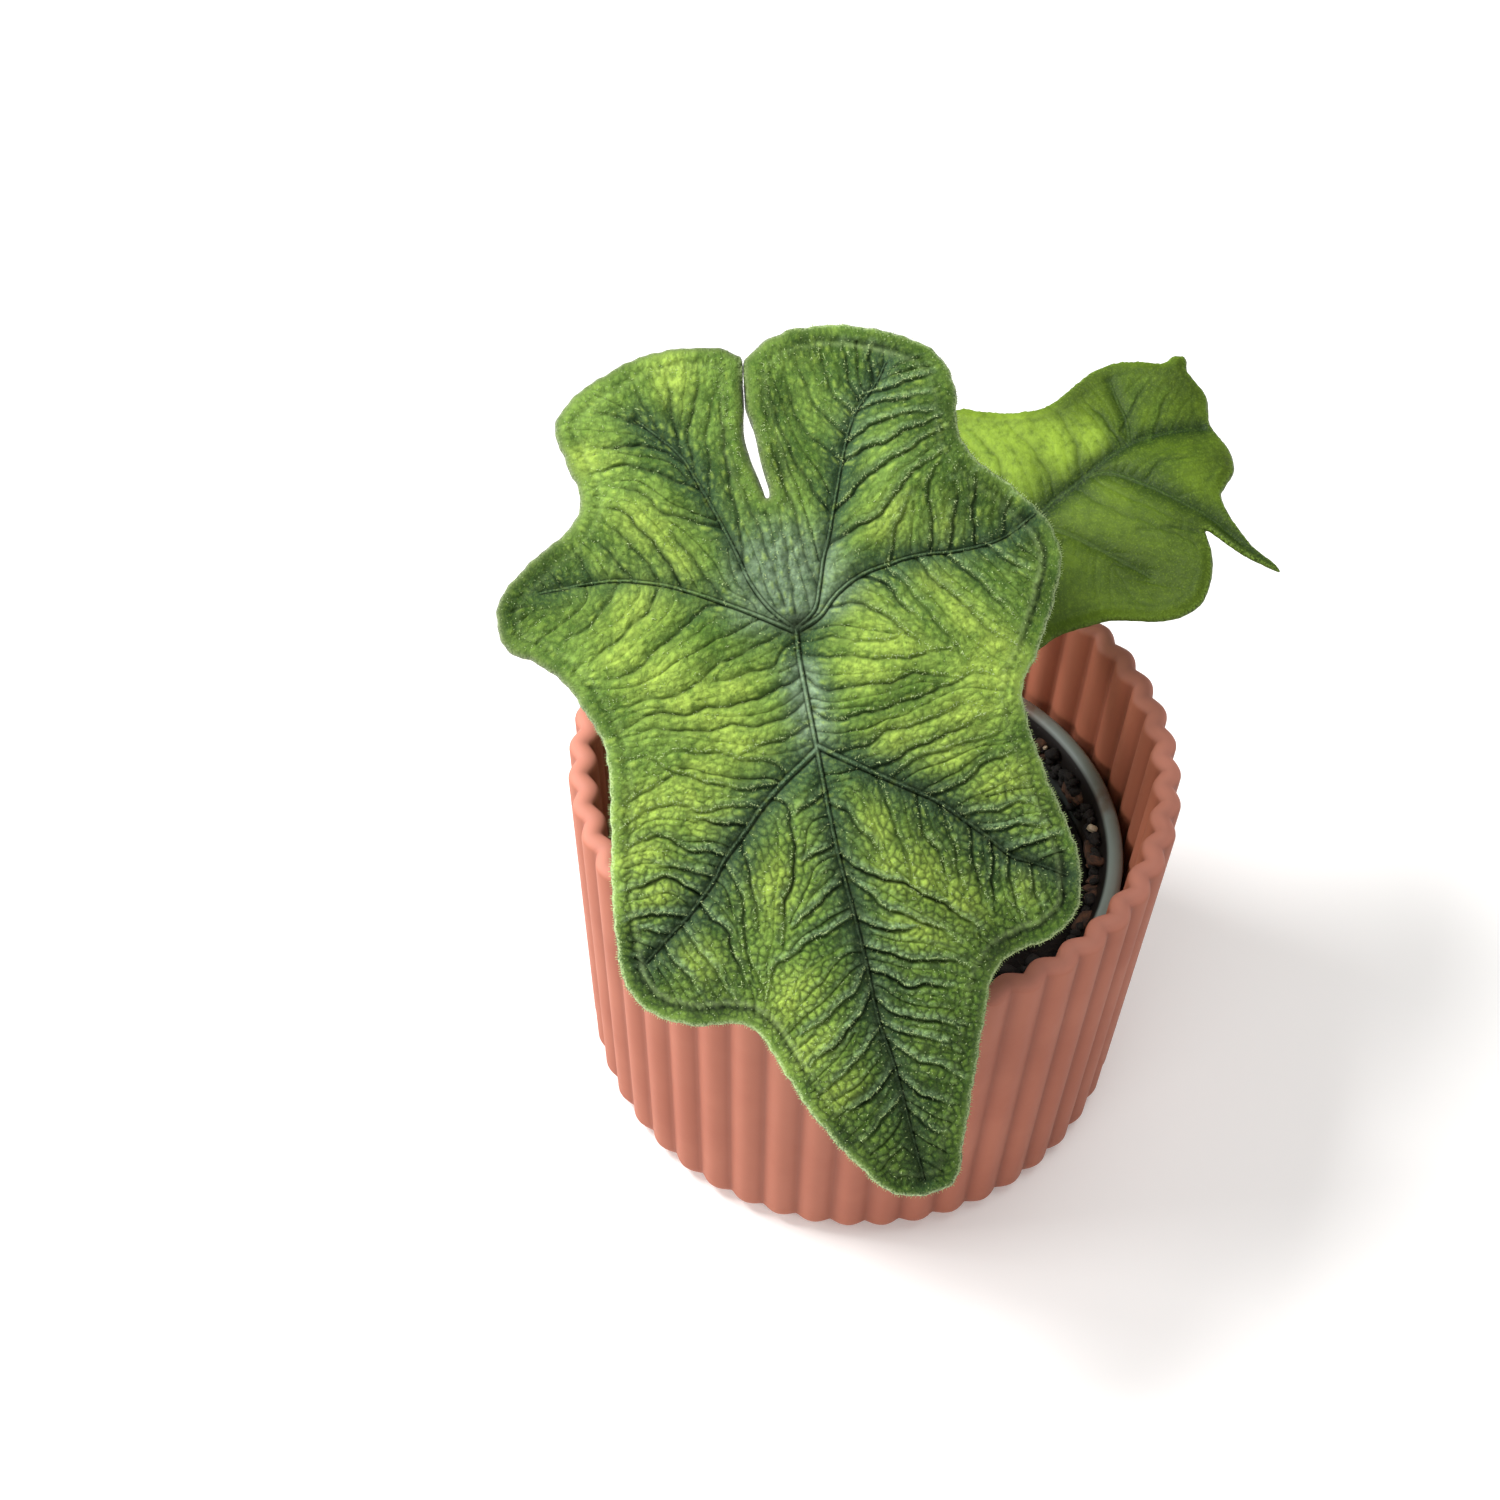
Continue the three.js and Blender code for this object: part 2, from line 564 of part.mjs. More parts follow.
function dripTip(leaf) {
  const path = DRIP_TIP.map(([a, b]) => (
    onBlade(leaf, a, b, bladeForm(leaf, a, b) - DRIP_TIP_HALF_THICKNESS)
  ));
  return toSolid(taperedStem(new THREE.CatmullRomCurve3(path), 10, 8, (t) => {
    const taper = Math.sqrt(1.04 - t);
    return [DRIP_TIP_HALF_THICKNESS * taper, DRIP_TIP_HALF_WIDTH * taper];
  }));
}

// Petiole: thick at its foot, slim in the middle, a little wider where it carries the blade
function petioleGeometry(petiole, grow = 0) {
  const { leaf } = petiole;
  const under = -leaf.funnel - BLADE - JUNCTION_BOSS;
  const head = onBlade(leaf, 0, 0, under - GAP);
  const neck = onBlade(leaf, 0, 0, under - GAP - PETIOLE_NECK);
  const foot = new THREE.Vector3(petiole.foot.x, petiole.foot.y, PETIOLE_SOCKET - grow);
  const start = foot.clone().setZ(STEM_TOP + 1);
  const curve = new THREE.CatmullRomCurve3([foot, start, ...petiole.middle, neck, head]);
  return taperedStem(curve, PETIOLE_STEPS, PETIOLE_SIDES, (t) => {
    const radius = THREE.MathUtils.lerp(petiole.footRadius, petiole.middleRadius, Math.min(t / 0.5, 1))
      + (petiole.headRadius - petiole.middleRadius) * THREE.MathUtils.smoothstep(t, 0.9, 1);
    return [radius, radius];
  }, grow);
}

const MATERIALS = {
  coral_ceramic: { color: 0xcf806c, roughness: 0.62, metalness: 0 },
  nursery_plastic: { color: 0x5d6a64, roughness: 0.42, metalness: 0 },
  potting_soil: { color: 0x1d1510, roughness: 0.95, metalness: 0 },
  corm_bark: { color: 0x6e5236, roughness: 0.85, metalness: 0 },
  petiole_skin: { color: 0x7f9350, roughness: 0.6, metalness: 0 },
  large_leaf: { color: 0x5f9133, roughness: 0.5, metalness: 0 },
  small_leaf: { color: 0x6f9a34, roughness: 0.45, metalness: 0 },
};

const plant = new THREE.Group();

function addNode(name, geometry, material) {
  const mesh = new THREE.Mesh(geometry, new THREE.MeshStandardMaterial(MATERIALS[material]));
  mesh.name = name;
  plant.add(mesh);
}

const petioleRoom = toSolid(petioleGeometry(LARGE_PETIOLE, GAP))
  .add(toSolid(petioleGeometry(SMALL_PETIOLE, GAP)));
const stemBase = toSolid(stemBaseGeometry(0)).subtract(petioleRoom);

addNode('outer_pot', outerPotGeometry(), 'coral_ceramic');
addNode('nursery_pot', nurseryPotGeometry(), 'nursery_plastic');
addNode('soil', soilGeometry(toSolid(stemBaseGeometry(GAP))), 'potting_soil');
addNode('stem_base', fromSolid(stemBase), 'corm_bark');
addNode('large_leaf_petiole', petioleGeometry(LARGE_PETIOLE), 'petiole_skin');
addNode('large_leaf_blade', fromSolid(leafBlade(LARGE_LEAF)), 'large_leaf');
addNode('small_leaf_petiole', petioleGeometry(SMALL_PETIOLE), 'petiole_skin');
addNode('small_leaf_blade', fromSolid(leafBlade(SMALL_LEAF).add(dripTip(SMALL_LEAF))), 'small_leaf');

export default plant;
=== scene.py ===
"""A young potted alocasia: two hairy net-veined leaves, soil, a nursery pot and a fluted pot."""

import math
from dataclasses import dataclass

import bpy
import numpy as np
from mathutils import Matrix, Vector, kdtree
from mathutils.geometry import delaunay_2d_cdt


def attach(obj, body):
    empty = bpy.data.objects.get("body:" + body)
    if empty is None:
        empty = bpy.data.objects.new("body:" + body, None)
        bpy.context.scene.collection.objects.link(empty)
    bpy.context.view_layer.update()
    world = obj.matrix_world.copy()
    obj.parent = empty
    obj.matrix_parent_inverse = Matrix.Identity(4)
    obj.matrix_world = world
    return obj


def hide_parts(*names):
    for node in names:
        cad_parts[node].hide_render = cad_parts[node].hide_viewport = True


bl_info = {
    "name": "Potted alocasia",
    "version": (1, 0, 0),
    "blender": (4, 5, 0),
    "location": "View3D > Sidebar > Alocasia",
    "description": "Builds a young potted alocasia piece by piece",
    "category": "Add Mesh",
}

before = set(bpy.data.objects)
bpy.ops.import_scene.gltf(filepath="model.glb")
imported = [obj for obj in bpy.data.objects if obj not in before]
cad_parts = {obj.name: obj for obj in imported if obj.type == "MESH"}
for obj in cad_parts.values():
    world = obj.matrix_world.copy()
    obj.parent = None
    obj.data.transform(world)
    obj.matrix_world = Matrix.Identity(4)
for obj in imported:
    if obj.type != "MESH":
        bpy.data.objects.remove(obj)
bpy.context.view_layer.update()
MM = 0.001
TURN = 2 * math.pi

# Fluted pot, in millimetres
POT_RADIUS = 41
POT_HEIGHT = 61.5
POT_FOOT_RADIUS = 39.2
POT_FLAT_RADIUS = 35.6
POT_FOOT_ROUND = 3.6
POT_WALL = 2.8
POT_FLOOR = 3
RIM_ROUND = 1.3
FLUTES = 48
COLUMNS_PER_FLUTE = 12
OUTER_FLUTE_DEPTH = 1.05
INNER_FLUTE_DEPTH = 1.15
FLUTE_PHASE = math.radians(32.5)
CREASE_ROUNDING = 0.004
# Widths of the painted shade in the outer and inner creases
OUTER_CREASE_SHADE_WIDTH = 0.42
INNER_CREASE_SHADE_WIDTH = 0.36
CENTRE_DISC = 0.5

# Nursery pot
NURSERY_X = 2.4
NURSERY_BASE = 3.3
NURSERY_TOP = 43.3
NURSERY_LIP_RADIUS = 33.2
NURSERY_TOP_RADIUS = 31.2
NURSERY_FOOT_RADIUS = 27.4
NURSERY_WALL = 0.9
NURSERY_LIP_HEIGHT = 1.9
NURSERY_COLUMNS = 144
NURSERY_SMUDGES = ((12, 7), (48, 5), (-70, 9), (160, 12))
DRAIN_HOLES = 6
DRAIN_RADIUS = 2.4
DRAIN_CIRCLE = 21.4

# Soil and stem base
SOIL_TOP = 37
SOIL_BOTTOM = 4.5
SOIL_RADIUS = 29.2
SOIL_FOOT_RADIUS = 25
STEM_X = 3.5
STEM_Y = 4.9
STEM_RADIUS = 5.8
STEM_BOTTOM = 29
STEM_TOP = 41

# Petioles, each from its socket to the back of its blade
PETIOLE_SOCKET = 36
PETIOLE_NECK = 5
JUNCTION_BOSS = 1.5

# Blades. A main vein's ditch is placed in reaches of that vein, and all else in millimetres.
BLADE_THICKNESS = 0.8
FUNNEL_REACH = 8
MAIN_VEIN_TAPER = 0.62
DITCH_PLACE = 1.7
CREST_PLACE = 0.36
GROOVE_PLACE = 2.1
BAND_PLACE = 2.7
SLIT_STEP = 0.5
PATCH_NARROWING = 0.62
TOP_FILL = {"large_leaf": 0.3, "small_leaf": 0.34}
UNDER_FILL = 1
UNDER_STEP = 3
LOBE_WAVES = 5
LOBE_WAVE_TURN = 0.4
LOBE_WAVE_START = 8
LOBE_WAVE_FULL = 36

# Hairs
STALK_HAIRS = 900
RIM_HAIRS = 1800
CREST_HAIRS = 4200
SIDE_VEIN_HAIRS = 1400
FINE_VEIN_HAIRS = 1600
BAND_HAIRS = 1500
HAIR_WIDTH = 0.05


def smoothstep(value, low, high):
    """0 below low, 1 above high and a smooth rise between them."""
    share = np.clip((value - low) / (high - low), 0, 1)
    return share * share * (3 - 2 * share)


def bell(distance, width):
    """1 at distance 0, falling off smoothly over the width."""
    return np.exp(-((distance / width) ** 2))


def pillow(distance, reach):
    """0 on a crease, rising steeply beside it and levelling off at 1."""
    return 1 - (1 - np.minimum(distance / reach, 1)) ** 2


def fold(distance, width):
    """A crest beside a crease, steep towards the crease and fading over the width."""
    return smoothstep(distance, 0.08, 0.32) * (1 - smoothstep(distance, 0.36, width))


def hairy_margin(a, b):
    """Share of long hairs on a margin: few on the left back lobe, many below and on the right."""
    return np.maximum(smoothstep(a, -2, 20), smoothstep(b, 2, 12))


def srgb(red, green, blue):
    """A colour of 0 to 255 screen values, as linear light with full alpha."""
    parts = [part / 255 for part in (red, green, blue)]
    linear = [p / 12.92 if p <= 0.04045 else ((p + 0.055) / 1.055) ** 2.4 for p in parts]
    return (*linear, 1.0)


def smooth_curve(points, step, closed=False):
    """Points about a step apart on a smooth curve through the given ones."""
    given = np.asarray(points, float)
    if closed:
        ring = np.vstack([given[-1], given, given[:2]])
    else:
        ring = np.vstack([2 * given[0] - given[1], given, 2 * given[-1] - given[-2]])
    t = np.linspace(0, 1, 32, endpoint=False)[:, None]
    spans = []
    for p, q, r, s in zip(ring, ring[1:], ring[2:], ring[3:]):
        square, cube = 2 * p - 5 * q + 4 * r - s, 3 * q - p - 3 * r + s
        spans.append(0.5 * (2 * q + (r - p) * t + square * t**2 + cube * t**3))
    fine = np.vstack([*spans, given[0] if closed else given[-1]])
    length = np.concatenate([[0], np.cumsum(np.linalg.norm(np.diff(fine, axis=0), axis=1))])
    count = max(2, round(length[-1] / step) + (not closed))
    targets = np.linspace(0, length[-1], count, endpoint=not closed)
    return np.column_stack([np.interp(targets, length, column) for column in fine.T])


@dataclass
class Leaf:
    """One leaf. In its plane a runs from the vein junction to the tip and b across, in millimetres.

    The outline is given as angle and distance from the junction, the sinus and the veins as places.
    Yellow patches, dark shades (partly the leaf's deeper green, partly painted shade) and grooves
    inside the margin are a place and a size each.
    Halos are the grey-green along each main vein. The bend gives the blade's height at a and b, the
    funnel is the hollow at the junction, the lobe wave turns the lobes up and down, and the swelling
    and the relief scale what stands out between the veins.
    """

    name: str
    junction: tuple
    tip: tuple
    face: tuple
    outline: list
    sinus: list
    main_veins: list
    side_veins: list
    patches: list
    shades: list
    halos: tuple
    grooves: list
    bend: object
    funnel: float
    lobe_wave: float
    vein_widths: tuple
    swelling: float
    relief: float
    seed: int


def large_leaf_bend(a, b):
    """The large leaf droops towards its margin all round."""
    return -0.0036 * b**2 - 0.0024 * np.maximum(a, 0) ** 2 - 0.0042 * np.minimum(a, 0) ** 2


LARGE_LEAF = Leaf(
    name="large_leaf",
    junction=(-11.6, -10.5, 99),
    tip=(0.216, -0.781, -0.586),
    face=(0, -0.6, 0.8),
    outline=[
        (-175, 36.3), (-169, 37.4), (-161, 38.6), (-149, 39.3), (-141.5, 38.6),
        (-137, 34.7), (-133, 31), (-126, 30), (-117, 32.8), (-109, 35.8), (-103, 36.5),
        (-97, 35.1), (-93, 31.3), (-87, 28.5), (-73, 26.9), (-65, 27.9), (-53, 33.3),
        (-45, 39.7), (-37, 47.5), (-31, 49.8), (-25, 49.5), (-19, 48.2), (-15.5, 49.6),
        (-8.7, 59.1), (-3, 67.4), (0, 70.5), (4, 71), (6, 69.7), (8, 64.9),
        (15.4, 52.3), (19.5, 48.1), (23.5, 47.4), (30, 48.8), (35.5, 48), (41.5, 43.4),
        (49, 35.2), (57, 30.3), (65, 28.1), (75.5, 29.4), (92, 33), (101, 33.8),
        (111, 32.1), (121, 30.3), (127.5, 30.4), (131.5, 31.9), (135.5, 34.9), (140, 37.3),
        (147, 38.4), (159, 38.2), (169, 37.4),
    ],
    sinus=[
        (-36.3, 5), (-35.9, 3.1), (-35, 1.8), (-34.2, 0.6), (-33.4, -0.14), (-31, -0.56),
        (-29, -0.83), (-27.6, -0.98), (-26, -0.75), (-24, -0.5), (-21, -0.45), (-19, -0.3),
        (-17, -0.1), (-16.2, -0.3), (-16.3, -0.65), (-17, -0.75), (-19, -1.1), (-21, -1.5),
        (-24, -1.75), (-26, -1.5), (-27.6, -1.13), (-29, -0.9), (-31, -0.63), (-33.4, -0.22),
        (-34.4, -0.4), (-35.2, -1.3), (-36, -2.4),
    ],
    main_veins=[
        [(0, 0), (4, -0.3), (14, -0.3), (26, -0.2), (34.6, 0.4), (41.5, 0.8), (48, 1), (54, 1.9),
         (62, 2.5), (69, 3)],
        [(0, -0.4), (-2.3, -3.9), (-5, -8.4), (-7.8, -13.6), (-9, -16.8), (-9.9, -20), (-10.3, -24),
         (-10.4, -29.5)],
        [(0, 0.6), (-1.1, 3.1), (-3.2, 5.4), (-4.9, 8.6), (-5.7, 12.5), (-6.1, 16.6), (-5.8, 21.3),
         (-6.4, 26.6), (-8.5, 31)],
        [(-0.4, -0.3), (-3, -2.6), (-6.5, -4.4), (-10.4, -5.4), (-15.1, -6.8), (-20.4, -8.6),
         (-23.3, -9.8), (-25.9, -11.8), (-28.7, -14.3)],
        [(-0.4, 0.4), (-2, 2.6), (-4.6, 3.7), (-7.6, 4.7), (-10.5, 6), (-14.5, 7.5), (-20.4, 9.8),
         (-24.5, 11.9), (-27.7, 15.1), (-30, 16.8)],
        [(14.6, -0.3), (16, -2.4), (17.8, -5.1), (20.2, -8.1), (22.5, -10.4), (25.5, -13.6),
         (27.8, -15.4), (29.6, -17.2), (31.9, -19.8), (33.4, -21.9), (36, -25.2)],
        [(14.2, -0.2), (16.4, 2.8), (19.9, 7.8), (23.1, 12.5), (25.4, 14.9), (28.4, 17.8),
         (31.6, 20.6), (33.1, 23.4), (35.2, 26.9)],
    ],
    side_veins=[
        [(-9.9, -19.8), (-6.5, -22.5), (-4.9, -24.9), (-4, -27), (-2.9, -29)],
        [(-4.5, -7.4), (-4.6, -10.4), (-2.9, -12.7), (-1.7, -15.1), (-0.1, -17.7), (1.7, -20.9),
         (1.4, -25.5)],
        [(0.2, -2), (0.9, -4.2), (1.7, -7.1), (2.7, -10.4), (4.2, -13), (5.1, -15.1), (5.1, -19.8),
         (5.6, -24.2)],
        [(1.4, -0.3), (2.1, -2), (3.9, -3.9), (4.1, -7.1), (4.5, -10), (3.8, -12.8)],
        [(5.4, -0.2), (6.2, -2), (7, -5.1), (7.6, -8.6), (7.3, -12.1), (7.6, -14.5), (6.8, -19.2),
         (7.7, -21.5), (8.5, -24.5)],
        [(8.4, -0.2), (9.5, -2), (10.4, -4.2), (10.5, -7.1), (9.9, -9.8), (9.9, -13.6), (8.9, -17.4),
         (8.6, -20.4), (9, -23.3)],
        [(11.4, -0.2), (12.4, -2.7), (13, -6.2), (13.4, -9)],
        [(17.2, -4.6), (15.9, -5), (15.1, -6.2), (14.5, -8.6), (13.1, -11.5), (12.3, -14.5),
         (11.8, -17.4), (12.4, -18.9)],
        [(18, -5.6), (17.8, -9.5), (16.7, -12.7), (15.6, -14.8), (14.3, -17.4), (12, -20.4),
         (11.5, -23.6)],
        [(14.3, -17.4), (15.4, -20.4), (16.2, -22.4), (17, -24.2)],
        [(-8.4, -15), (-5.2, -17.4), (-4.1, -19.2), (-2.6, -21.5), (-1.4, -23.9), (-0.2, -25.6)],
        [(20.3, -8.4), (19.6, -10.7), (19.4, -15.4), (18.4, -17.2), (17.8, -19.5), (18.7, -23.4),
         (19.9, -25.1)],
        [(22.1, -10.1), (21.5, -11.9), (21.1, -13.9), (20.2, -16)],
        [(25.3, -13.6), (24.3, -15.4), (24, -17.2), (21.8, -20.1), (21.2, -21.9), (22.2, -24.8)],
        [(27.5, -15.4), (26.6, -17.2), (25.5, -19.8), (24.6, -22)],
        [(29.4, -17.2), (28.1, -18.6), (26.6, -20.4), (26.5, -22.5), (27.4, -26.3)],
        [(31.6, -19.5), (31.1, -21.3), (30.5, -23.4), (30.9, -26.6)],
        [(33.3, -21.9), (32.8, -23.6), (32.2, -25.1)],
        [(19.3, -6.9), (20.8, -5.1), (24.1, -5.1), (27.2, -5.4), (29.9, -6.3), (32.2, -7.5),
         (36.9, -8.4)],
        [(26, -14), (28.7, -12.8), (31.1, -12.5), (34.3, -12.8), (36.9, -13.1), (42, -12)],
        [(23.4, -11.3), (26.9, -11.1), (30.5, -11), (34.3, -11)],
        [(30.2, -17.8), (32.2, -16.6), (34, -15.1), (36.1, -14.8), (41, -14)],
        [(32.4, -20.4), (35.2, -19.2), (36.9, -18.1), (39, -17.2), (42.4, -15.8)],
        [(34.4, -23), (37.2, -21.9), (39, -20.4), (41, -20)],
        [(20, -0.3), (20.5, -1.3), (21.4, -3.1), (22.1, -4.5)],
        [(25.4, -0.2), (26.4, -0.7), (26.9, -2.2), (27.5, -4.2)],
        [(30.3, 0), (31.1, -0.4), (31.9, -2.2), (33.1, -3.9), (34, -5.1), (35, -7)],
        [(35.2, 0.4), (36.4, -2.8), (36.9, -4.8), (38.1, -7.2), (39.6, -10.1), (43, -11.6)],
        [(41.6, 0.8), (43.8, -0.7), (45, -2.5), (46.6, -5), (48.3, -8.4)],
        [(44.6, 0.9), (47.4, -1.3), (49.1, -3.4), (50.3, -4.8), (51.3, -6.9), (52.1, -8.1)],
        [(49.2, 1.2), (50.9, -0.7), (52.6, -2.4), (54.6, -5.6)],
        [(54.3, 1.9), (56.5, -0.1), (57.6, -2.2), (58.8, -4.5)],
        [(58.2, 2.2), (60, -0.1), (61.5, -1.9), (62.8, -3.6)],
        [(39, 0.8), (40.9, 4.6), (42.1, 7.5), (42.6, 10.8), (44.4, 13)],
        [(42, 0.8), (42.6, 2.2), (43.8, 4), (45, 5.5), (45, 7.5), (46, 10.5)],
        [(45.6, 1), (47.9, 3.1), (48.8, 5.2), (49.4, 7.2), (50.9, 10.2)],
        [(48.6, 1.1), (50, 3.1), (51, 4.9), (51.5, 6.6), (52.6, 8.4)],
        [(50.6, 1.4), (52.6, 3.1), (54.1, 4.9), (55, 6.9), (57.4, 9.9)],
        [(55.6, 2.1), (57.9, 4), (59.1, 5.8), (60.3, 7.5)],
        [(59.6, 2.4), (62.6, 4.6), (63.8, 6.6)],
        [(21.4, -0.2), (22.5, 1.6), (24.3, 2.5), (26.6, 3.9), (29, 4.8)],
        [(27.6, 0), (30.2, 2.5), (31.4, 4.8), (32.4, 6.9), (35.2, 10.4), (36.4, 11.9), (39.9, 15.1)],
        [(30.2, 0.2), (32.8, 2.5), (34.6, 3.9), (35.8, 5.7), (38.4, 9.8), (41, 12.4)],
        [(35.6, 0.5), (36.9, 2.8), (37.8, 4.5), (37.8, 7.8)],
        [(18.4, 5.8), (21.6, 6.7), (24.3, 6.9), (28.7, 7.8), (31.6, 8.1), (34.3, 7.9)],
        [(21.8, 10.6), (26.6, 10.4), (29.3, 11.6), (31.6, 12.2), (34.6, 12)],
        [(23.6, 13), (26.9, 13.6), (29.3, 13.8), (31.9, 13.8), (36, 14)],
        [(27.2, 16.4), (30, 16), (33, 15.9), (36.4, 16.6)],
        [(29.4, 18.6), (32.8, 18.1), (34.6, 17.6), (38, 17.4)],
        [(31.4, 20.5), (34.6, 19.8), (36.9, 20.1), (39.6, 20.4)],
        [(33, 23), (36, 22.6), (38.6, 23.2)],
        [(18.2, 5.4), (17.4, 9.2), (16.5, 11.6), (15.9, 14.8), (14.5, 20.4)],
        [(19.8, 7.8), (18.4, 10.1), (17.8, 12.5), (17.2, 18.4), (16.9, 21.3)],
        [(22.6, 11.8), (22.2, 15.4), (21.1, 17.5), (20, 19.5), (19.3, 23.4)],
        [(25.8, 15.4), (25.8, 18.4), (25.9, 20.4), (25.5, 22.5), (25.8, 24.2)],
        [(28.2, 17.8), (28.3, 20.4), (28.2, 22.6), (28.8, 25.2)],
        [(31.2, 20.4), (30.5, 24.2), (30.5, 26.6)],
        [(1.6, -0.2), (1.8, 4.2), (3.3, 8.6), (3.4, 10.7), (2.7, 13.1)],
        [(2.2, -0.2), (3.3, 0.7), (4, 3.9), (4.8, 7.2), (5.6, 9.8), (5.9, 13.6), (5.8, 18.4)],
        [(5.4, -0.2), (8, 2.2), (7.9, 4.8), (8.3, 7.8), (8.3, 10.7), (8, 13.6), (9.8, 18.1)],
        [(9.6, -0.2), (11.5, 1.9), (11.5, 5.7), (11.2, 9.2), (10.2, 16), (9.3, 19.5), (9.9, 21.9)],
        [(15.6, 1.4), (15.4, 3.9), (15.1, 6), (14, 8.6), (13.9, 12.5), (12.7, 18.1), (14.2, 19.2)],
        [(-2, 4), (-1.9, 5.1), (-1.4, 8.4), (1.5, 11.6), (3.6, 13.4), (5.4, 14.8)],
        [(-4.9, 8.8), (-4.1, 10.4), (-2.6, 11.9), (-0.2, 13.1), (2.1, 14.8)],
        [(-5.5, 11.6), (-4.2, 12.5), (-2.6, 13.9), (-0.2, 15.1), (4.2, 17.5), (8.3, 19.5)],
        [(-5.9, 19), (-4.6, 20.1), (-2.9, 21.6), (0.9, 24.2), (3.6, 25.7)],
        [(-6, 24.2), (-4.9, 25.4), (-2.9, 27.2), (-1.7, 28.9)],
        [(-6, 15.6), (-2, 17.8), (0.9, 20.4), (3.6, 21.9), (7.1, 25.4)],
        [(-6.3, 17.6), (-9.6, 18.6), (-12.1, 18.4), (-14.5, 19.2), (-16.5, 20.4)],
        [(-6, 20), (-9.1, 21), (-11.4, 21.9), (-14, 22)],
        [(-6.2, 23.2), (-9.6, 23.6), (-12.1, 24.2), (-14.5, 25.1)],
        [(-6.8, 27), (-9, 27.6), (-11, 28.8)],
        [(-5.6, 12.6), (-9.4, 14), (-13, 16.4)],
        [(-9.2, 5.6), (-10.4, 8.9), (-11.2, 11.6), (-13, 14.2), (-15.4, 16.6), (-17.7, 21.3)],
        [(-12.8, 6.9), (-15.1, 10.1), (-16.8, 12.5), (-17.7, 14.8), (-20.4, 21.9)],
        [(-18.8, 9.2), (-19.8, 12.5), (-20.1, 14.8), (-20.9, 17.2), (-21.8, 21.6)],
        [(-21, 10.2), (-22.4, 13.6), (-23, 16.6), (-22.7, 21)],
        [(-24.4, 11.9), (-25, 13.6), (-25, 16.6), (-24.8, 21)],
        [(-26.4, 13.4), (-26.8, 17.8), (-27.4, 21.9)],
        [(-18.6, 9.1), (-21.5, 7.2), (-23, 5.7), (-26, 4.8), (-31, 4.4)],
        [(-21.8, 10.4), (-25.4, 7.8), (-28.3, 6.9), (-32.1, 6.3), (-34, 6.4)],
        [(-24.2, 11.7), (-28, 9.6), (-33.4, 9.4)],
        [(-25.6, 12.8), (-29, 12), (-33.4, 12.4)],
        [(-27.6, 15), (-30.4, 15), (-32.4, 15.6)],
        [(-12.6, 6.8), (-16, 5.2), (-21, 3.4), (-27, 2.4), (-31, 2.2)],
        [(-4.2, 3.5), (-9.8, 2.5), (-13, 2.6), (-17.4, 1.8), (-24, 1.2)],
        [(-2, 0.3), (-6, 0.4), (-10, 0.6), (-14, 0.6)],
        [(-3, -0.8), (-8, -1.4), (-13, -2.2), (-19, -3.6)],
        [(-8.4, -4.9), (-13, -4.4), (-18, -4.6), (-25, -4.2), (-31, -3.6)],
        [(-20.2, -8.5), (-26.2, -8.3), (-29.2, -6.8), (-34, -5.4)],
        [(-22.6, -9.5), (-26.8, -9.8), (-33.6, -9.6)],
        [(-25, -11), (-29.2, -12.7), (-33.4, -13.8)],
        [(-17, -7.4), (-21, -6.6), (-26, -6), (-33, -2.8)],
        [(-27.6, -13.3), (-29.6, -16.8), (-31, -19.4)],
        [(-13.5, -6.3), (-16.5, -12.7), (-18.6, -14.5), (-20.2, -16.2), (-21.5, -20.6)],
        [(-18.4, -7.8), (-20.4, -11), (-23, -15.6), (-23.3, -18.6), (-23, -21.8)],
        [(-22.2, -9.4), (-25, -13), (-25.5, -16), (-26.4, -20.9)],
        [(-10.3, -23), (-13, -23.9), (-14.8, -24.8)],
        [(-9.4, -18), (-12.4, -19.8), (-14.8, -21.5), (-16.2, -23)],
        [(-8.6, -15), (-12.4, -16.8), (-15.4, -18.9), (-17.4, -20.4)],
        [(-7, -12.3), (-12.7, -14.5), (-15.1, -16.2), (-17.4, -17.4), (-19.5, -21.5)],
        [(-4.6, -7.8), (-8, -9.4), (-12, -11.4), (-15, -13)],
        [(-10.4, -26.6), (-12.4, -27.8)],
    ],
    patches=[
        (-6, -18, 3.4), (-1, -21, 2.2), (2.6, -17.5, 2.6), (6.2, -14.4, 3), (6, -9, 2.2),
        (9, -11.6, 2.6), (12.4, -9.6, 2.6), (15, -14, 2), (17.4, -21, 2.8), (17.4, -17, 2.8),
        (20.6, -14.6, 2.2), (-15.8, -15.6, 2.6), (-10.8, -12.6, 2), (-25, -20.6, 2),
        (-33, -9, 2.4), (-2, 7.6, 2.6), (3.6, 10.4, 3.4), (6.4, 7.4, 2.6), (-2.6, 17.4, 2),
        (2, 20, 2.2), (6, 23, 2.4), (10, 22, 2.8), (13.6, 18, 3), (15.2, 9.6, 2.6), (18, 15, 2.4),
        (22.6, 20.6, 2.4), (-10.8, 13.6, 2.2), (-8, 20, 1.8), (32, 9.4, 2.6), (29.6, -8.4, 2.6),
        (36, 13.6, 2.4), (38, 8, 2.2), (43.6, -9, 2.6), (31, 6, 2), (56, -5, 2.2), (28, -22, 2),
        (36.6, -19, 2.4), (23, -23.4, 2.2), (34.6, 22, 1.8), (25, 5, 1.8), (50, -7.6, 2),
    ],
    # Dark shades: partly the leaf's deeper green, partly painted shade where the blade turns from the
    # light.
    shades=[
        (70, 3, 13), (57, 2, 7), (44, 2, 5), (38, -25, 5), (42, -18, 5), (33, -28, 4), (42, 17, 5),
        (37, 27, 4.4), (27, 28, 3), (31, -16, 5), (26, -12, 4), (30, 17.6, 5), (25, 12, 3.4),
        (-30, 17, 7), (-22, 21, 5), (-34, 8, 4), (-28, 3, 3.4), (-20, 1.6, 3), (-11, -29, 6),
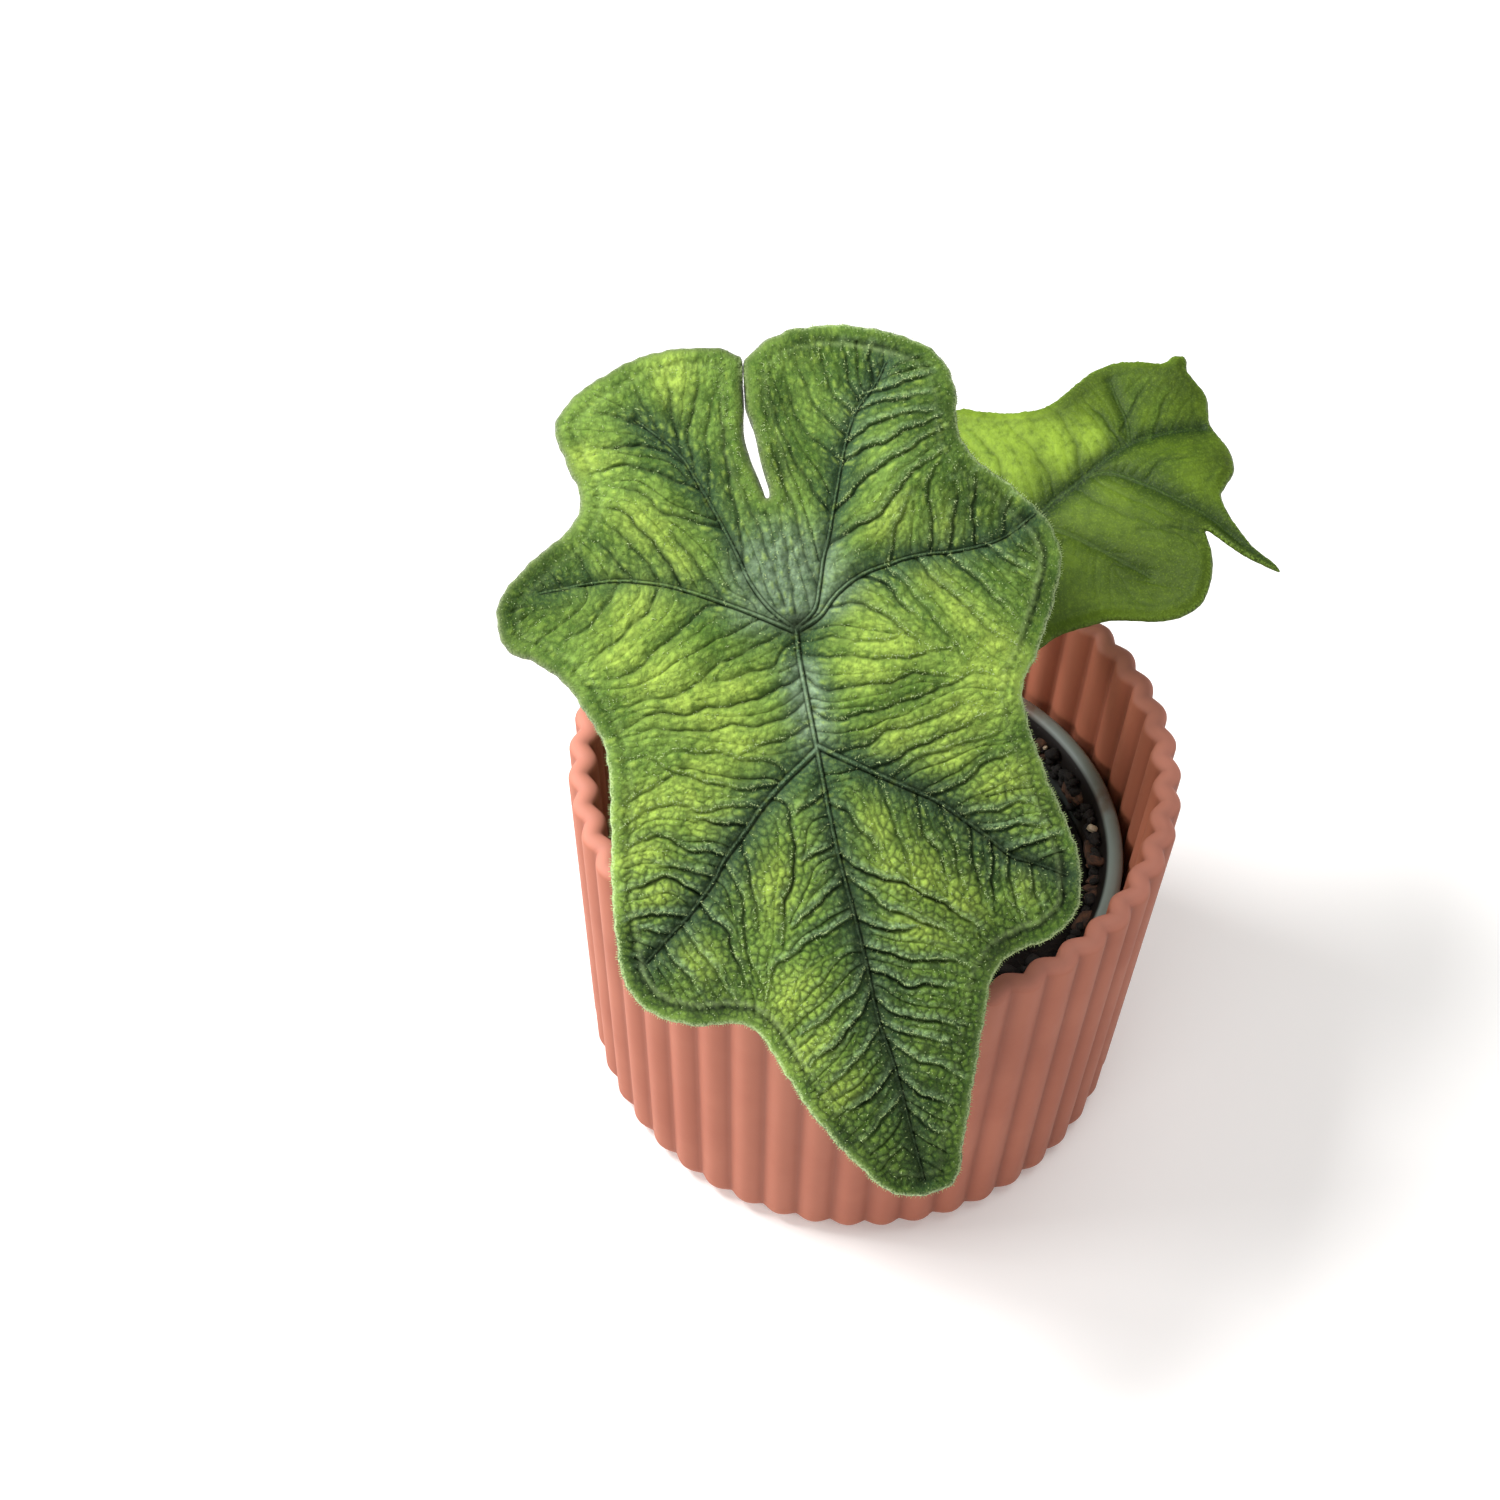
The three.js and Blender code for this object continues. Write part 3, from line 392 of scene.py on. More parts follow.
        (-9, -34, 5), (-6, 29, 5), (-12, 24, 5), (1, 31, 4), (-27, -11, 3.4), (-20, -7, 4),
        (-18, 9, 3), (0.4, 0.3, 1.9), (52, 9, 4), (62, -6, 4), (50, 1.5, 4), (63, 2.5, 7),
    ],
    halos=(1, 0.5, 0.95, 0.9, 1, 1, 1),
    grooves=[(38, 24, 9), (41, -21, 9), (1, 31, 8), (-30, 14, 5), (48, -12, 5)],
    bend=large_leaf_bend,
    funnel=2.2,
    lobe_wave=1.3,
    vein_widths=(0.65, 0.6, 0.6, 0.45, 0.5, 0.95, 0.8),
    swelling=1,
    relief=1,
    seed=5,
)


def small_leaf_bend(a, b):
    """The small leaf arches over along its midrib, least on its left side."""
    share = 1 - 0.8 * smoothstep(b, 3, 16)
    arch = -0.0175 * np.maximum(a - 13, 0) ** 2 * share
    return arch - 0.005 * np.minimum(b + 2, 0) ** 2 - 0.004 * np.minimum(a, 0) ** 2


SMALL_LEAF = Leaf(
    name="small_leaf",
    junction=(20, 22.4, 84.1),
    tip=(0.879, 0.41, 0.242),
    face=(-0.158, -0.227, 0.961),
    outline=[
        (-172, 18.5), (-162, 21.5), (-150, 23), (-138, 22.8), (-126, 20.6),
        (-109.3, 16.8), (-94.7, 16.6), (-83.4, 17.6), (-70.6, 21.6), (-62.9, 23.7), (-55.7, 24.5),
        (-45.8, 24), (-38.1, 23.1), (-31.8, 22.2), (-34.4, 24.3), (-37.4, 27.1), (-38.6, 29.7),
        (-39, 31.1), (-38.9, 32.2), (-37.1, 31.4), (-35.4, 29.6), (-33, 27.9), (-25.3, 25.4),
        (-18.8, 24.7), (-15.2, 25.6), (-10.2, 27.5), (-3.3, 28.4), (5.1, 28.3), (8.2, 28.8),
        (14, 31), (18.2, 31.3), (21.5, 31.6), (23.9, 32.9), (26.4, 32), (27.2, 30.3), (33.1, 28.5),
        (37.6, 27.2), (42.2, 25.2), (45.6, 23.1), (49.8, 20.5), (56.3, 18), (64.7, 17.2),
        (75.2, 17.5), (85.5, 19.2), (91.4, 20.8), (106, 23), (120, 24.2), (134, 24), (148, 22.6),
        (162, 20.4), (172, 18),
    ],
    sinus=[(-15.5, 0.5), (-12, 0.3), (-9, 0), (-12, -0.3), (-15.5, -0.5)],
    main_veins=[
        [(0, 0), (2.7, 1.6), (8.1, 2.6), (12.2, 3.6), (16.5, 4.4), (21, 4.1), (27.4, 2.9)],
        [(9.4, 2.9), (12.1, 1.7), (14.8, -1.6), (18.3, -6.9), (20.4, -10.1), (22.3, -14.7),
         (24.3, -19)],
        [(16.5, 4.4), (18, 7.7), (18.5, 11.1), (19.1, 14.4)],
        [(0, 0), (2.5, -2.7), (5.4, -7.7), (9.1, -14.3)],
        [(0, 0), (-5, 8), (-8, 17)],
        [(0, 0), (-10, -7), (-15, -12)],
    ],
    side_veins=[
        [(4, 1.3), (5, 6), (4.6, 11), (3, 17)],
        [(8, 2.2), (10, 7), (10.4, 12), (9.4, 16)],
        [(15.6, 5), (15.4, 9), (14.6, 12.6)],
        [(16.4, 6.6), (20, 9.6), (24, 12)],
        [(19.6, 3.6), (22.6, 7), (25.6, 9.6)],
        [(15, -1.8), (19, -0.4), (23.6, -1.6)],
        [(7, 2.2), (9.4, -3.4), (13, -8.4), (16.6, -13)],
        [(2, -4), (-1.4, -8), (-3, -13.4)],
        [(1, -0.6), (-4, -7.6), (-8, -15)],
        [(11, -8), (16, -10.4), (19, -12.6)],
        [(-2.6, 4.2), (0, 10), (-1, 17.6)],
        [(-4.4, 7), (-9.6, 9.6), (-14, 12)],
        [(-6, -4.4), (-11, -3.4), (-16, -3.6)],
    ],
    patches=[
        (0, 10, 4), (-0.1, 14.5, 3.6), (4, 13, 3.4), (8, 9, 3.4), (12, 7, 2.4),
    ],
    # Dark shades, mostly on the right: partly deeper green, partly painted shade where the blade turns
    # away from the light.
    shades=[
        (14, 16, 4), (27, 10, 4), (26, 4, 3), (12, -17, 6), (17, -11, 4), (21, -14, 4), (26, -3, 3),
        (8, -12, 4),
    ],
    halos=(1, 0.85, 0.7, 0.5, 0.4, 0.4),
    grooves=[],
    bend=small_leaf_bend,
    funnel=0.8,
    lobe_wave=0.6,
    vein_widths=(0.8, 0.7, 0.5, 0.5, 0.5, 0.5),
    swelling=2.4,
    relief=0.3,
    seed=9,
)


class Lines:
    """Polylines in the leaf plane, and the distance from any points to the nearest of them."""

    def __init__(self, polylines):
        sizes = [len(line) for line in polylines]
        self.points = np.vstack(polylines)
        self.line = np.repeat(np.arange(len(sizes)), sizes)
        self.share = np.concatenate([np.linspace(0, 1, size) for size in sizes])
        self.along = np.vstack([np.gradient(line, axis=0) for line in polylines])
        ends = np.cumsum(sizes)
        index = np.arange(len(self.points))
        self.after = np.minimum(index + 1, ends[self.line] - 1)
        self.before = np.maximum(index - 1, (ends - sizes)[self.line])
        self.tree = point_tree(self.points)

    def nearest(self, where):
        """Distance to the nearest line, and the index of its nearest point."""
        index = np.array([self.tree.find((a, b, 0))[1] for a, b in where])
        start = self.points[index]
        best = np.linalg.norm(where - start, axis=1)
        for other in (self.after[index], self.before[index]):
            span = self.points[other] - start
            size = np.maximum((span**2).sum(1), 1e-12)
            t = np.clip(((where - start) * span).sum(1) / size, 0, 1)
            best = np.minimum(best, np.linalg.norm(where - start - span * t[:, None], axis=1))
        return best, index


def point_tree(points):
    """A search tree over points of the leaf plane."""
    tree = kdtree.KDTree(len(points))
    for i, (a, b) in enumerate(points):
        tree.insert((a, b, 0), i)
    tree.balance()
    return tree


def beside(line, offset):
    """The points of a polyline moved sideways by an offset."""
    along = np.gradient(line, axis=0)
    along /= np.maximum(np.linalg.norm(along, axis=1), 1e-9)[:, None]
    return line + offset * np.column_stack([-along[:, 1], along[:, 0]])


def upper_side(line, offset):
    """The points of a polyline moved sideways towards the leaf's base."""
    one, other = beside(line, offset), beside(line, -offset)
    return np.where(one[:, :1] < other[:, :1], one, other)


def hex_grid(low, high, step):
    """Points of an even triangular grid between two corners."""
    rows = np.arange(low[1], high[1], step * math.sqrt(0.75))
    columns = np.arange(low[0], high[0], step)
    return np.array([(x + 0.5 * step * (j % 2), y) for j, y in enumerate(rows) for x in columns])


def inside_of(ring, points):
    """Which points lie inside a closed ring, by the even and odd rule."""
    result = np.zeros(len(points), bool)
    for (a1, b1), (a2, b2) in zip(ring, np.roll(ring, -1, axis=0)):
        crosses = (b1 > points[:, 1]) != (b2 > points[:, 1])
        if b1 != b2:
            result ^= crosses & (points[:, 0] < a1 + (points[:, 1] - b1) * (a2 - a1) / (b2 - b1))
    return result


class Veins:
    """The vein net of a leaf: main and side veins as given, and finer ones that flow between them."""

    STEP = 0.3
    CELL = 0.25
    MARGIN = 1.9
    SPACING = 1.0
    CLOSEST = 0.5
    SEED_SPACING = 0.8
    SHORTEST = 5
    LONGEST = 120
    NET = 1.05
    NET_SCATTER = 0.34

    def __init__(self, leaf):
        self.random = np.random.default_rng(leaf.seed)
        turns = [(math.radians(turn), radius) for turn, radius in leaf.outline]
        outline = [(radius * math.cos(turn), radius * math.sin(turn)) for turn, radius in turns]
        ring = smooth_curve(outline + leaf.sinus, self.STEP, closed=True)
        self.edge = self.uneven(ring, leaf.relief)
        self.edge_lines = Lines([np.vstack([self.edge, self.edge[0]])])
        self.main = [smooth_curve(vein, self.STEP) for vein in leaf.main_veins]
        self.side = [self.wavy(smooth_curve(vein, self.STEP)) for vein in leaf.side_veins]
        self.low = self.edge.min(0) - 2
        self.size = np.ceil((self.edge.max(0) + 2 - self.low) / self.CELL).astype(int)
        self.flow_grid = self.make_flow()
        self.inner = self.make_inner()
        self.crowded = np.zeros(self.size, bool)
        self.taken = np.zeros(self.size, bool)
        for line in self.main + self.side:
            self.stamp(line)
        self.fine = self.grow_fine()
        seeds = hex_grid(self.low, -self.low + self.edge.max(0) + self.edge.min(0), self.NET)
        seeds = seeds + self.random.normal(0, self.NET_SCATTER * self.NET, seeds.shape)
        self.seeds = seeds[inside_of(self.edge, seeds)]

    def uneven(self, ring, size):
        """The outline with small irregular waves, but none in the slit between the back lobes."""
        turn = np.linspace(0, TURN, len(ring), endpoint=False)
        wave = 0.05 * np.sin(53 * turn) + 0.05 * np.sin(97 * turn + 2) + 0.045 * np.sin(181 * turn + 4)
        free = np.maximum(smoothstep(np.abs(ring[:, 1]), 3, 8), smoothstep(ring[:, 0], 0, 5))
        return beside(ring, (size * wave * free)[:, None])

    def wavy(self, line):
        """A vein with small irregular waves, still at its ends."""
        at = np.arange(len(line)) * self.STEP
        wave = 0.12 * np.sin(at * 1.3 + self.random.uniform(0, TURN))
        wave += 0.05 * np.sin(at * 3.4 + self.random.uniform(0, TURN))
        return beside(line, (wave * smoothstep(at, 0, 3))[:, None])

    def make_flow(self):
        """Direction of the near side veins on a 1 mm grid, as the doubled angle's cosine and sine."""
        side = Lines([line[::3] for line in self.side])
        angle = 2 * np.arctan2(side.along[:, 1], side.along[:, 0])
        size = np.ceil(self.size * self.CELL).astype(int) + 2
        grid = np.zeros((*size, 2))
        for i in range(size[0]):
            for j in range(size[1]):
                a, b = self.low + (i, j)
                for _, index, distance in side.tree.find_n((a, b, 0), 10):
                    weight = 1 / (distance**2 + 0.6)
                    grid[i, j] += weight * math.cos(angle[index]), weight * math.sin(angle[index])
        return grid

    def flow(self, where):
        """Unit direction of the veins at some points, whichever way round."""
        spot = np.atleast_2d(where) - self.low
        corner = np.clip(spot.astype(int), 0, np.array(self.flow_grid.shape[:2]) - 2)
        u, v = (spot - corner).T[:, :, None]
        i, j = corner.T
        grid = self.flow_grid
        near = grid[i, j] * (1 - u) * (1 - v) + grid[i + 1, j] * u * (1 - v)
        near += grid[i, j + 1] * (1 - u) * v + grid[i + 1, j + 1] * u * v
        angle = 0.5 * np.arctan2(near[:, 1], near[:, 0])
        return np.column_stack([np.cos(angle), np.sin(angle)])

    def make_inner(self):
        """Raster of the cells inside the margin, where fine veins may run."""
        grid = np.stack(np.meshgrid(*map(np.arange, self.size), indexing="ij"), -1).reshape(-1, 2)
        spots = self.low + (grid + 0.5) * self.CELL
        inside = inside_of(self.edge, spots)
        depth = np.zeros(len(spots))
        depth[inside] = self.edge_lines.nearest(spots[inside])[0]
        return (depth > self.MARGIN).reshape(self.size)

    def stamp(self, line):
        """Marks the cells near a line as crowded, and those very near it as taken."""
        for raster, radius in ((self.crowded, self.SPACING), (self.taken, self.CLOSEST)):
            reach = int(radius / self.CELL)
            for a, b in ((line - self.low) / self.CELL).astype(int):
                raster[max(a - reach, 0) : a + reach + 1, max(b - reach, 0) : b + reach + 1] = True

    def grow_fine(self):
        """Fine veins that run along the flow, evenly spread between the others."""
        seeds = hex_grid(self.low, self.edge.max(0), self.SEED_SPACING)
        self.random.shuffle(seeds)
        fine = []
        for seed in seeds:
            cell = tuple(((seed - self.low) / self.CELL).astype(int))
            if not self.inner[cell] or self.crowded[cell]:
                continue
            back, ahead = (self.trace(seed, sign) for sign in (-1, 1))
            line = np.array(back[::-1] + [seed] + ahead)
            if len(line) > self.SHORTEST:
                self.stamp(line)
                fine.append(line)
        return fine

    def trace(self, start, sign):
        """The points from a start along the flow, until the line meets another or the margin."""
        path = []
        point = start
        heading = sign * self.flow(start)[0]
        wander = 0.0
        last_steps = 2
        while last_steps and len(path) < self.LONGEST:
            ahead = self.flow(point)[0]
            heading = ahead if ahead @ heading > 0 else -ahead
            wander = 0.85 * wander + 0.07 * self.random.normal()
            turn = np.array([-heading[1], heading[0]])
            point = point + self.STEP * (heading + wander * turn)
            cell = tuple(((point - self.low) / self.CELL).astype(int))
            if not self.inner[cell]:
                break
            last_steps -= bool(self.taken[cell])
            path.append(point)
        return path


def leaf_axes(leaf):
    """Tip, across and face directions of a leaf, as unit vectors."""
    tip = Vector(leaf.tip).normalized()
    across = Vector(leaf.face).cross(tip).normalized()
    return tip, across, tip.cross(across)


class Blade:
    """Heights, attributes and places of one blade, worked out from its form and its veins."""

    MARGIN_ROWS = (0.15, 0.4, 0.75, 1.2, 1.7, GROOVE_PLACE)
    MAIN_ROWS = (0, 0.8, -0.8, DITCH_PLACE, -DITCH_PLACE, 2.8, -2.8)
    SIDE_ROWS = (0, 0.15, -0.15, CREST_PLACE, -CREST_PLACE)
    FINE_ROWS = (0, 0.2, -0.2)

    def __init__(self, leaf):
        self.leaf = leaf
        self.veins = Veins(leaf)
        self.main = Lines(self.veins.main)
        self.side = Lines(self.veins.side)
        self.fine = Lines(self.veins.fine)
        self.net_tree = point_tree(self.veins.seeds)
        random = np.random.default_rng(leaf.seed + 60)
        self.side_strength = random.uniform(0.65, 1, len(self.veins.side))
        self.fine_strength = random.uniform(0.35, 1, len(self.veins.fine))

    def vein_size(self, width, share):
        """Width and reach of a main vein on the upper face, at a share of its way to the margin."""
        width = width * (1 - MAIN_VEIN_TAPER * share)
        return width, 0.06 + 0.2 * width

    def form(self, a, b):
        """Height of the blade's own form, without relief."""
        leaf = self.leaf
        reach = np.hypot(a, b)
        turn = np.arctan2(b, a)
        wave = leaf.lobe_wave * np.cos(LOBE_WAVES * turn + LOBE_WAVE_TURN)
        wave *= smoothstep(reach, LOBE_WAVE_START, LOBE_WAVE_FULL)
        slit = 180 - np.abs(np.degrees(turn))
        step = SLIT_STEP * (1 - smoothstep(slit, 0, 14)) * smoothstep(reach, 17, 25) * np.sign(b + 0.6)
        return leaf.bend(a, b) + wave + step - leaf.funnel * bell(reach, FUNNEL_REACH)

    def net(self, where):
        """Distance from the borders of the finest net's meshes, and the way to the nearest border."""
        found = [self.net_tree.find_n((a, b, 0), 7) for a, b in where]
        index = np.array([[hit[1] for hit in hits] for hits in found])
        away = self.veins.seeds[index] - where[:, None]
        flow = self.veins.flow(where)
        cross = np.column_stack([-flow[:, 1], flow[:, 0]])
        stretch = 0.48 + 0.36 * smoothstep(where[:, :1], 14, 36)
        spots = np.stack([stretch * (away * flow[:, None]).sum(2), (away * cross[:, None]).sum(2)], -1)
        distance = np.linalg.norm(spots, axis=2)
        order = np.argsort(distance, axis=1)[:, :2]
        rows = np.arange(len(where))
        (first, second), (near, far) = spots[rows, order.T], distance[rows, order.T]
        span = second - first
        step = span * ((far**2 - near**2) / (2 * (span**2).sum(1)))[:, None]
        return far - near, flow * step[:, :1] / stretch + cross * step[:, 1:]

    def fields(self, where):
        """All that a point's height and colour depend on, by name."""
        a, b = where.T
        main, at = self.main.nearest(where)
        away = where - self.main.points[at]
        along = self.main.along[at]
        normal = np.column_stack([-along[:, 1], along[:, 0]])
        normal *= np.sign(normal[:, :1] + 0.3 * normal[:, 1:])
        side, side_at = self.side.nearest(where)
        side_strength = self.side_strength[self.side.line[side_at]]
        side_strength *= 1 - 0.6 * smoothstep(self.side.share[side_at], 0.7, 1)
        above = np.clip((self.side.points[side_at, 0] - a) / (side + 0.05), 0, 1)
        fine, fine_at = self.fine.nearest(where)
        fine_above = np.clip((self.fine.points[fine_at, 0] - a) / (fine + 0.05), 0, 1)
        right_lobes = 0.5 * smoothstep(b, 6, 14) * (1 - smoothstep(a, -4, 8))
        folded = np.maximum(smoothstep(a, 8, 38), right_lobes) * bell(main, 12)
        grooved = np.full(len(a), 0.3)
        for x, y, size in self.leaf.grooves:
            grooved = grooved + bell(np.hypot(a - x, b - y), size)
        vein = self.main.line[at]
        width, reach = self.vein_size(np.array(self.leaf.vein_widths)[vein], self.main.share[at])
        return {
            "a": a, "b": b,
            "lower": smoothstep(a, 6, 30),
            "main": main, "width": width, "reach": reach,
            "clear": smoothstep(main, reach, 0.1 + 2.2 * reach),
            "below": (away * normal).sum(1) > 0,
            "halo": np.array(self.leaf.halos)[vein],
            "side": side, "side_strength": side_strength, "pleat": above * folded,
            "fine": fine, "fine_strength": self.fine_strength[self.fine.line[fine_at]],
            "fine_pleat": fine_above * folded,
            "net": self.net(where)[0],
            "edge": self.veins.edge_lines.nearest(where)[0],
            "grooved": np.minimum(grooved, 1),
        }

    def low_relief(self, f):
        """The swelling of the blade between its main and side veins, with soft lumps."""
        swell = 0.9 * (1 - bell(f["main"], 5)) - 0.6 * bell(f["main"], 0.6 + f["width"])
        swell *= self.leaf.swelling
        lumps = np.sin(1.7 * f["a"] + 1.1 * np.sin(0.9 * f["b"]))
        lumps *= np.cos(1.5 * f["b"] + np.sin(0.7 * f["a"]))
        side = 0.45 * f["side_strength"] * (1 - bell(f["side"], 1.3))
        return swell + side + 0.09 * lumps - 0.6

    def top(self, f):
        """Height of the upper face at points with the fields f."""
        inner = smoothstep(f["edge"], 0.2 + 0.8 * f["grooved"], 1.1 + 1.2 * f["grooved"])
        width, reach = f["width"], f["reach"]
        near_main = bell(f["main"], 4.5)
        knots = 1 + 0.3 * np.sin(7 * f["a"] + 2 * np.sin(5 * f["b"])) * np.sin(6 * f["b"] + 1)
        ridge = (0.1 + 0.22 * width) * knots * bell(f["main"], reach)
        ditch = -(0.2 + 0.3 * width) * bell(f["main"] - DITCH_PLACE * reach, 0.08 + 0.3 * reach)
        ditch *= 0.5 + 0.5 * f["below"]
        side = (0.44 + 0.12 * f["lower"]) * (1 + 0.4 * near_main) * (pillow(f["side"], 0.7) - 1)
        side += 0.5 * f["pleat"] * fold(f["side"], 1.3)
        side *= f["side_strength"]
        hub = bell(np.hypot(f["a"] + 7, f["b"]), 7)
        fine = (0.36 - 0.1 * hub) * (1 + 0.6 * near_main) * (pillow(f["fine"], 0.5) - 1)
        fine += 0.22 * f["fine_pleat"] * fold(f["fine"], 0.8)
        fine *= f["fine_strength"]
        net = 0.24 * pillow(f["net"], 0.6)
        height = inner * (self.low_relief(f) + ridge + ditch + f["clear"] * (side + fine + net))
        margin = 0.14 * bell(f["edge"] - 0.7, 0.5)
        margin -= 0.34 * f["grooved"] * bell(f["edge"] - GROOVE_PLACE, 0.4)
        margin -= 0.4 * (1 - smoothstep(f["edge"], 0, 0.5))
        return self.form(f["a"], f["b"]) + self.leaf.relief * (height + margin)

    def under(self, f):
        """Height of the lower face, with the main veins standing out as thick ribs."""
        relief = self.leaf.relief
        inner = smoothstep(f["edge"], 0.6, 2.4)
        side = -0.45 * f["side_strength"] * bell(f["side"], 0.45) - 0.12 * bell(f["fine"], 0.35)
        round_rib = np.sqrt(np.clip(1 - (f["main"] / (0.25 + 1.1 * f["width"])) ** 2, 0, 1))
        boss = JUNCTION_BOSS * (1 - smoothstep(np.hypot(f["a"], f["b"]), 2, 7))
        margin = -0.3 * (1 - smoothstep(f["edge"], 0, 0.9))
        height = relief * (inner * (self.low_relief(f) + side) + margin) - 0.72 - boss
        return self.form(f["a"], f["b"]) + height - 1.1 * f["width"] * round_rib * inner

    def place(self, where, height):
        """Leaf plane points at a height, as places in space in metres."""
        tip, across, face = (np.array(axis) for axis in leaf_axes(self.leaf))
        spots = np.array(self.leaf.junction) + where[:, :1] * tip + where[:, 1:2] * across
        return (spots + height[:, None] * face) * MM

    def rows(self, step=1):
        """Points along the margin and the veins, that both faces keep."""
        rows = [beside(self.veins.edge, -offset) for offset in self.MARGIN_ROWS]
        for line, width in zip(self.veins.main, self.leaf.vein_widths):
            _, reach = self.vein_size(width, np.linspace(0, 1, len(line))[:, None])
            rows += [beside(line, share * reach)[::step] for share in self.MAIN_ROWS]
        for lines, offsets in ((self.veins.side, self.SIDE_ROWS), (self.veins.fine, self.FINE_ROWS)):
            rows += [beside(line, offset)[::step] for offset in offsets for line in lines]
        return self.thinned(np.vstack(rows), 0.13 * step)

    def thinned(self, points, cell):
        """At most one point in each square cell, the first of them."""
        _, keep = np.unique(np.floor(points / cell).astype(int), axis=0, return_index=True)
        return points[np.sort(keep)]

    def even_fill(self, rows, fill, apart):
        """An even grid away from the rows, with the points near a border of the net moved onto it."""
        edge = self.veins.edge
        points = hex_grid(edge.min(0), edge.max(0), fill)
        points = points[inside_of(edge, points)]
        _, step = self.net(points)
        points = points + step * (np.linalg.norm(step, axis=1) < 0.55 * fill)[:, None]
        tree = point_tree(rows)
        free = [tree.find((a, b, 0))[2] > apart for a, b in points]
        return self.thinned(points[free], 0.45 * fill)

    def sheet(self, rows, fill):
        """Triangles over the blade through the given rows and an even fill. The edge comes first."""
        edge = self.veins.edge
        points = np.vstack([rows, self.even_fill(rows, fill, 0.2)])
        points = points[inside_of(edge, points)]
        distance, _ = self.veins.edge_lines.nearest(points)
        points = np.vstack([edge, points[distance > 0.09]])
        ring = [(i, (i + 1) % len(edge)) for i in range(len(edge))]
        made = delaunay_2d_cdt([Vector(p) for p in points], ring, [], 1, 1e-5)
        return np.array(made[0]), np.array(made[2])

    def yellow_patches(self, where):
        """Share of yellow, in the leaf's patches, which are drawn out along the veins."""
        flow = self.veins.flow(where)
        patch = np.zeros(len(where))
        for a, b, size in self.leaf.patches:
            away = where - (a, b)
            along = (away * flow).sum(1)
            across = away[:, 0] * flow[:, 1] - away[:, 1] * flow[:, 0]
            patch = np.maximum(patch, bell(np.hypot(PATCH_NARROWING * along, across), size * 1.05))
        return patch

    def dark_shades(self, a, b):
        """Share of the dark shades: partly the leaf's deeper green, partly painted shade."""
        shade = np.zeros(len(a))
        for x, y, size in self.leaf.shades:
            shade = np.maximum(shade, bell(np.hypot(a - x, b - y), size))
        return shade

    def colours(self, f):
        """Shares of each tone at points with the fields f, between 0 and 1."""
        a, b, edge, width, reach = (f[key] for key in ("a", "b", "edge", "width", "reach"))
        relief = self.leaf.relief
        junction = np.hypot(a, b - 0.2)
        hub = 1 - smoothstep(np.hypot(a + 5, b), 3, 11)
        above_hub = hub * (1 - smoothstep(a, -2, 1))
        below_hub = smoothstep(a + 1.2 * np.abs(b), 14, 34) * smoothstep(a, 10, 18)
        upper_midrib = bell(b + 0.3, 2.2) * smoothstep(a, 2, 6) * (1 - smoothstep(a, 10, 18))
        near_main = bell(f["main"], 5)
        hairy = hairy_margin(a, b)
        spread = (1.3 + 2.2 * width) * (0.6 + 0.4 * relief)
        halo = np.maximum(bell(f["main"], spread) * f["halo"], 0.9 * hub * relief)
        # Dark lines of the side and fine veins and the net's borders: partly the veins' own dark green,
        # partly painted shade in their creases.
        line = f["side_strength"] * bell(f["side"], 0.22)
        fine = f["fine_strength"] * (0.65 + 0.3 * near_main) * bell(f["fine"], 0.14)
        net = (0.46 + 0.2 * f["lower"]) * (1 - smoothstep(f["net"], 0, 0.2))
        line = np.maximum(np.maximum(line, fine), net) * smoothstep(edge, 0.4, 1.4)
        line *= (0.75 + 0.25 * f["lower"]) * (1 - 0.15 * hub)
        # Painted shade in the ditch beside each main vein, heavier on the side away from the light;
        # also darkened along the main veins below the junction and at the junction point.
        ditch = bell(f["main"] - DITCH_PLACE * reach, 0.1 + 0.3 * reach) * np.where(f["below"], 1, 0.8)
        ditch = np.maximum(ditch, 0.8 * bell(f["main"], 1.1) * below_hub)
        ditch = np.maximum(ditch, 0.7 * bell(junction, 1.5))
        # Painted highlight on the crests of the net's cells, more beside the side veins.
        crest = smoothstep(f["net"], 0.2, 0.5) * (0.4 + bell(f["side"] - 0.5, 0.3))
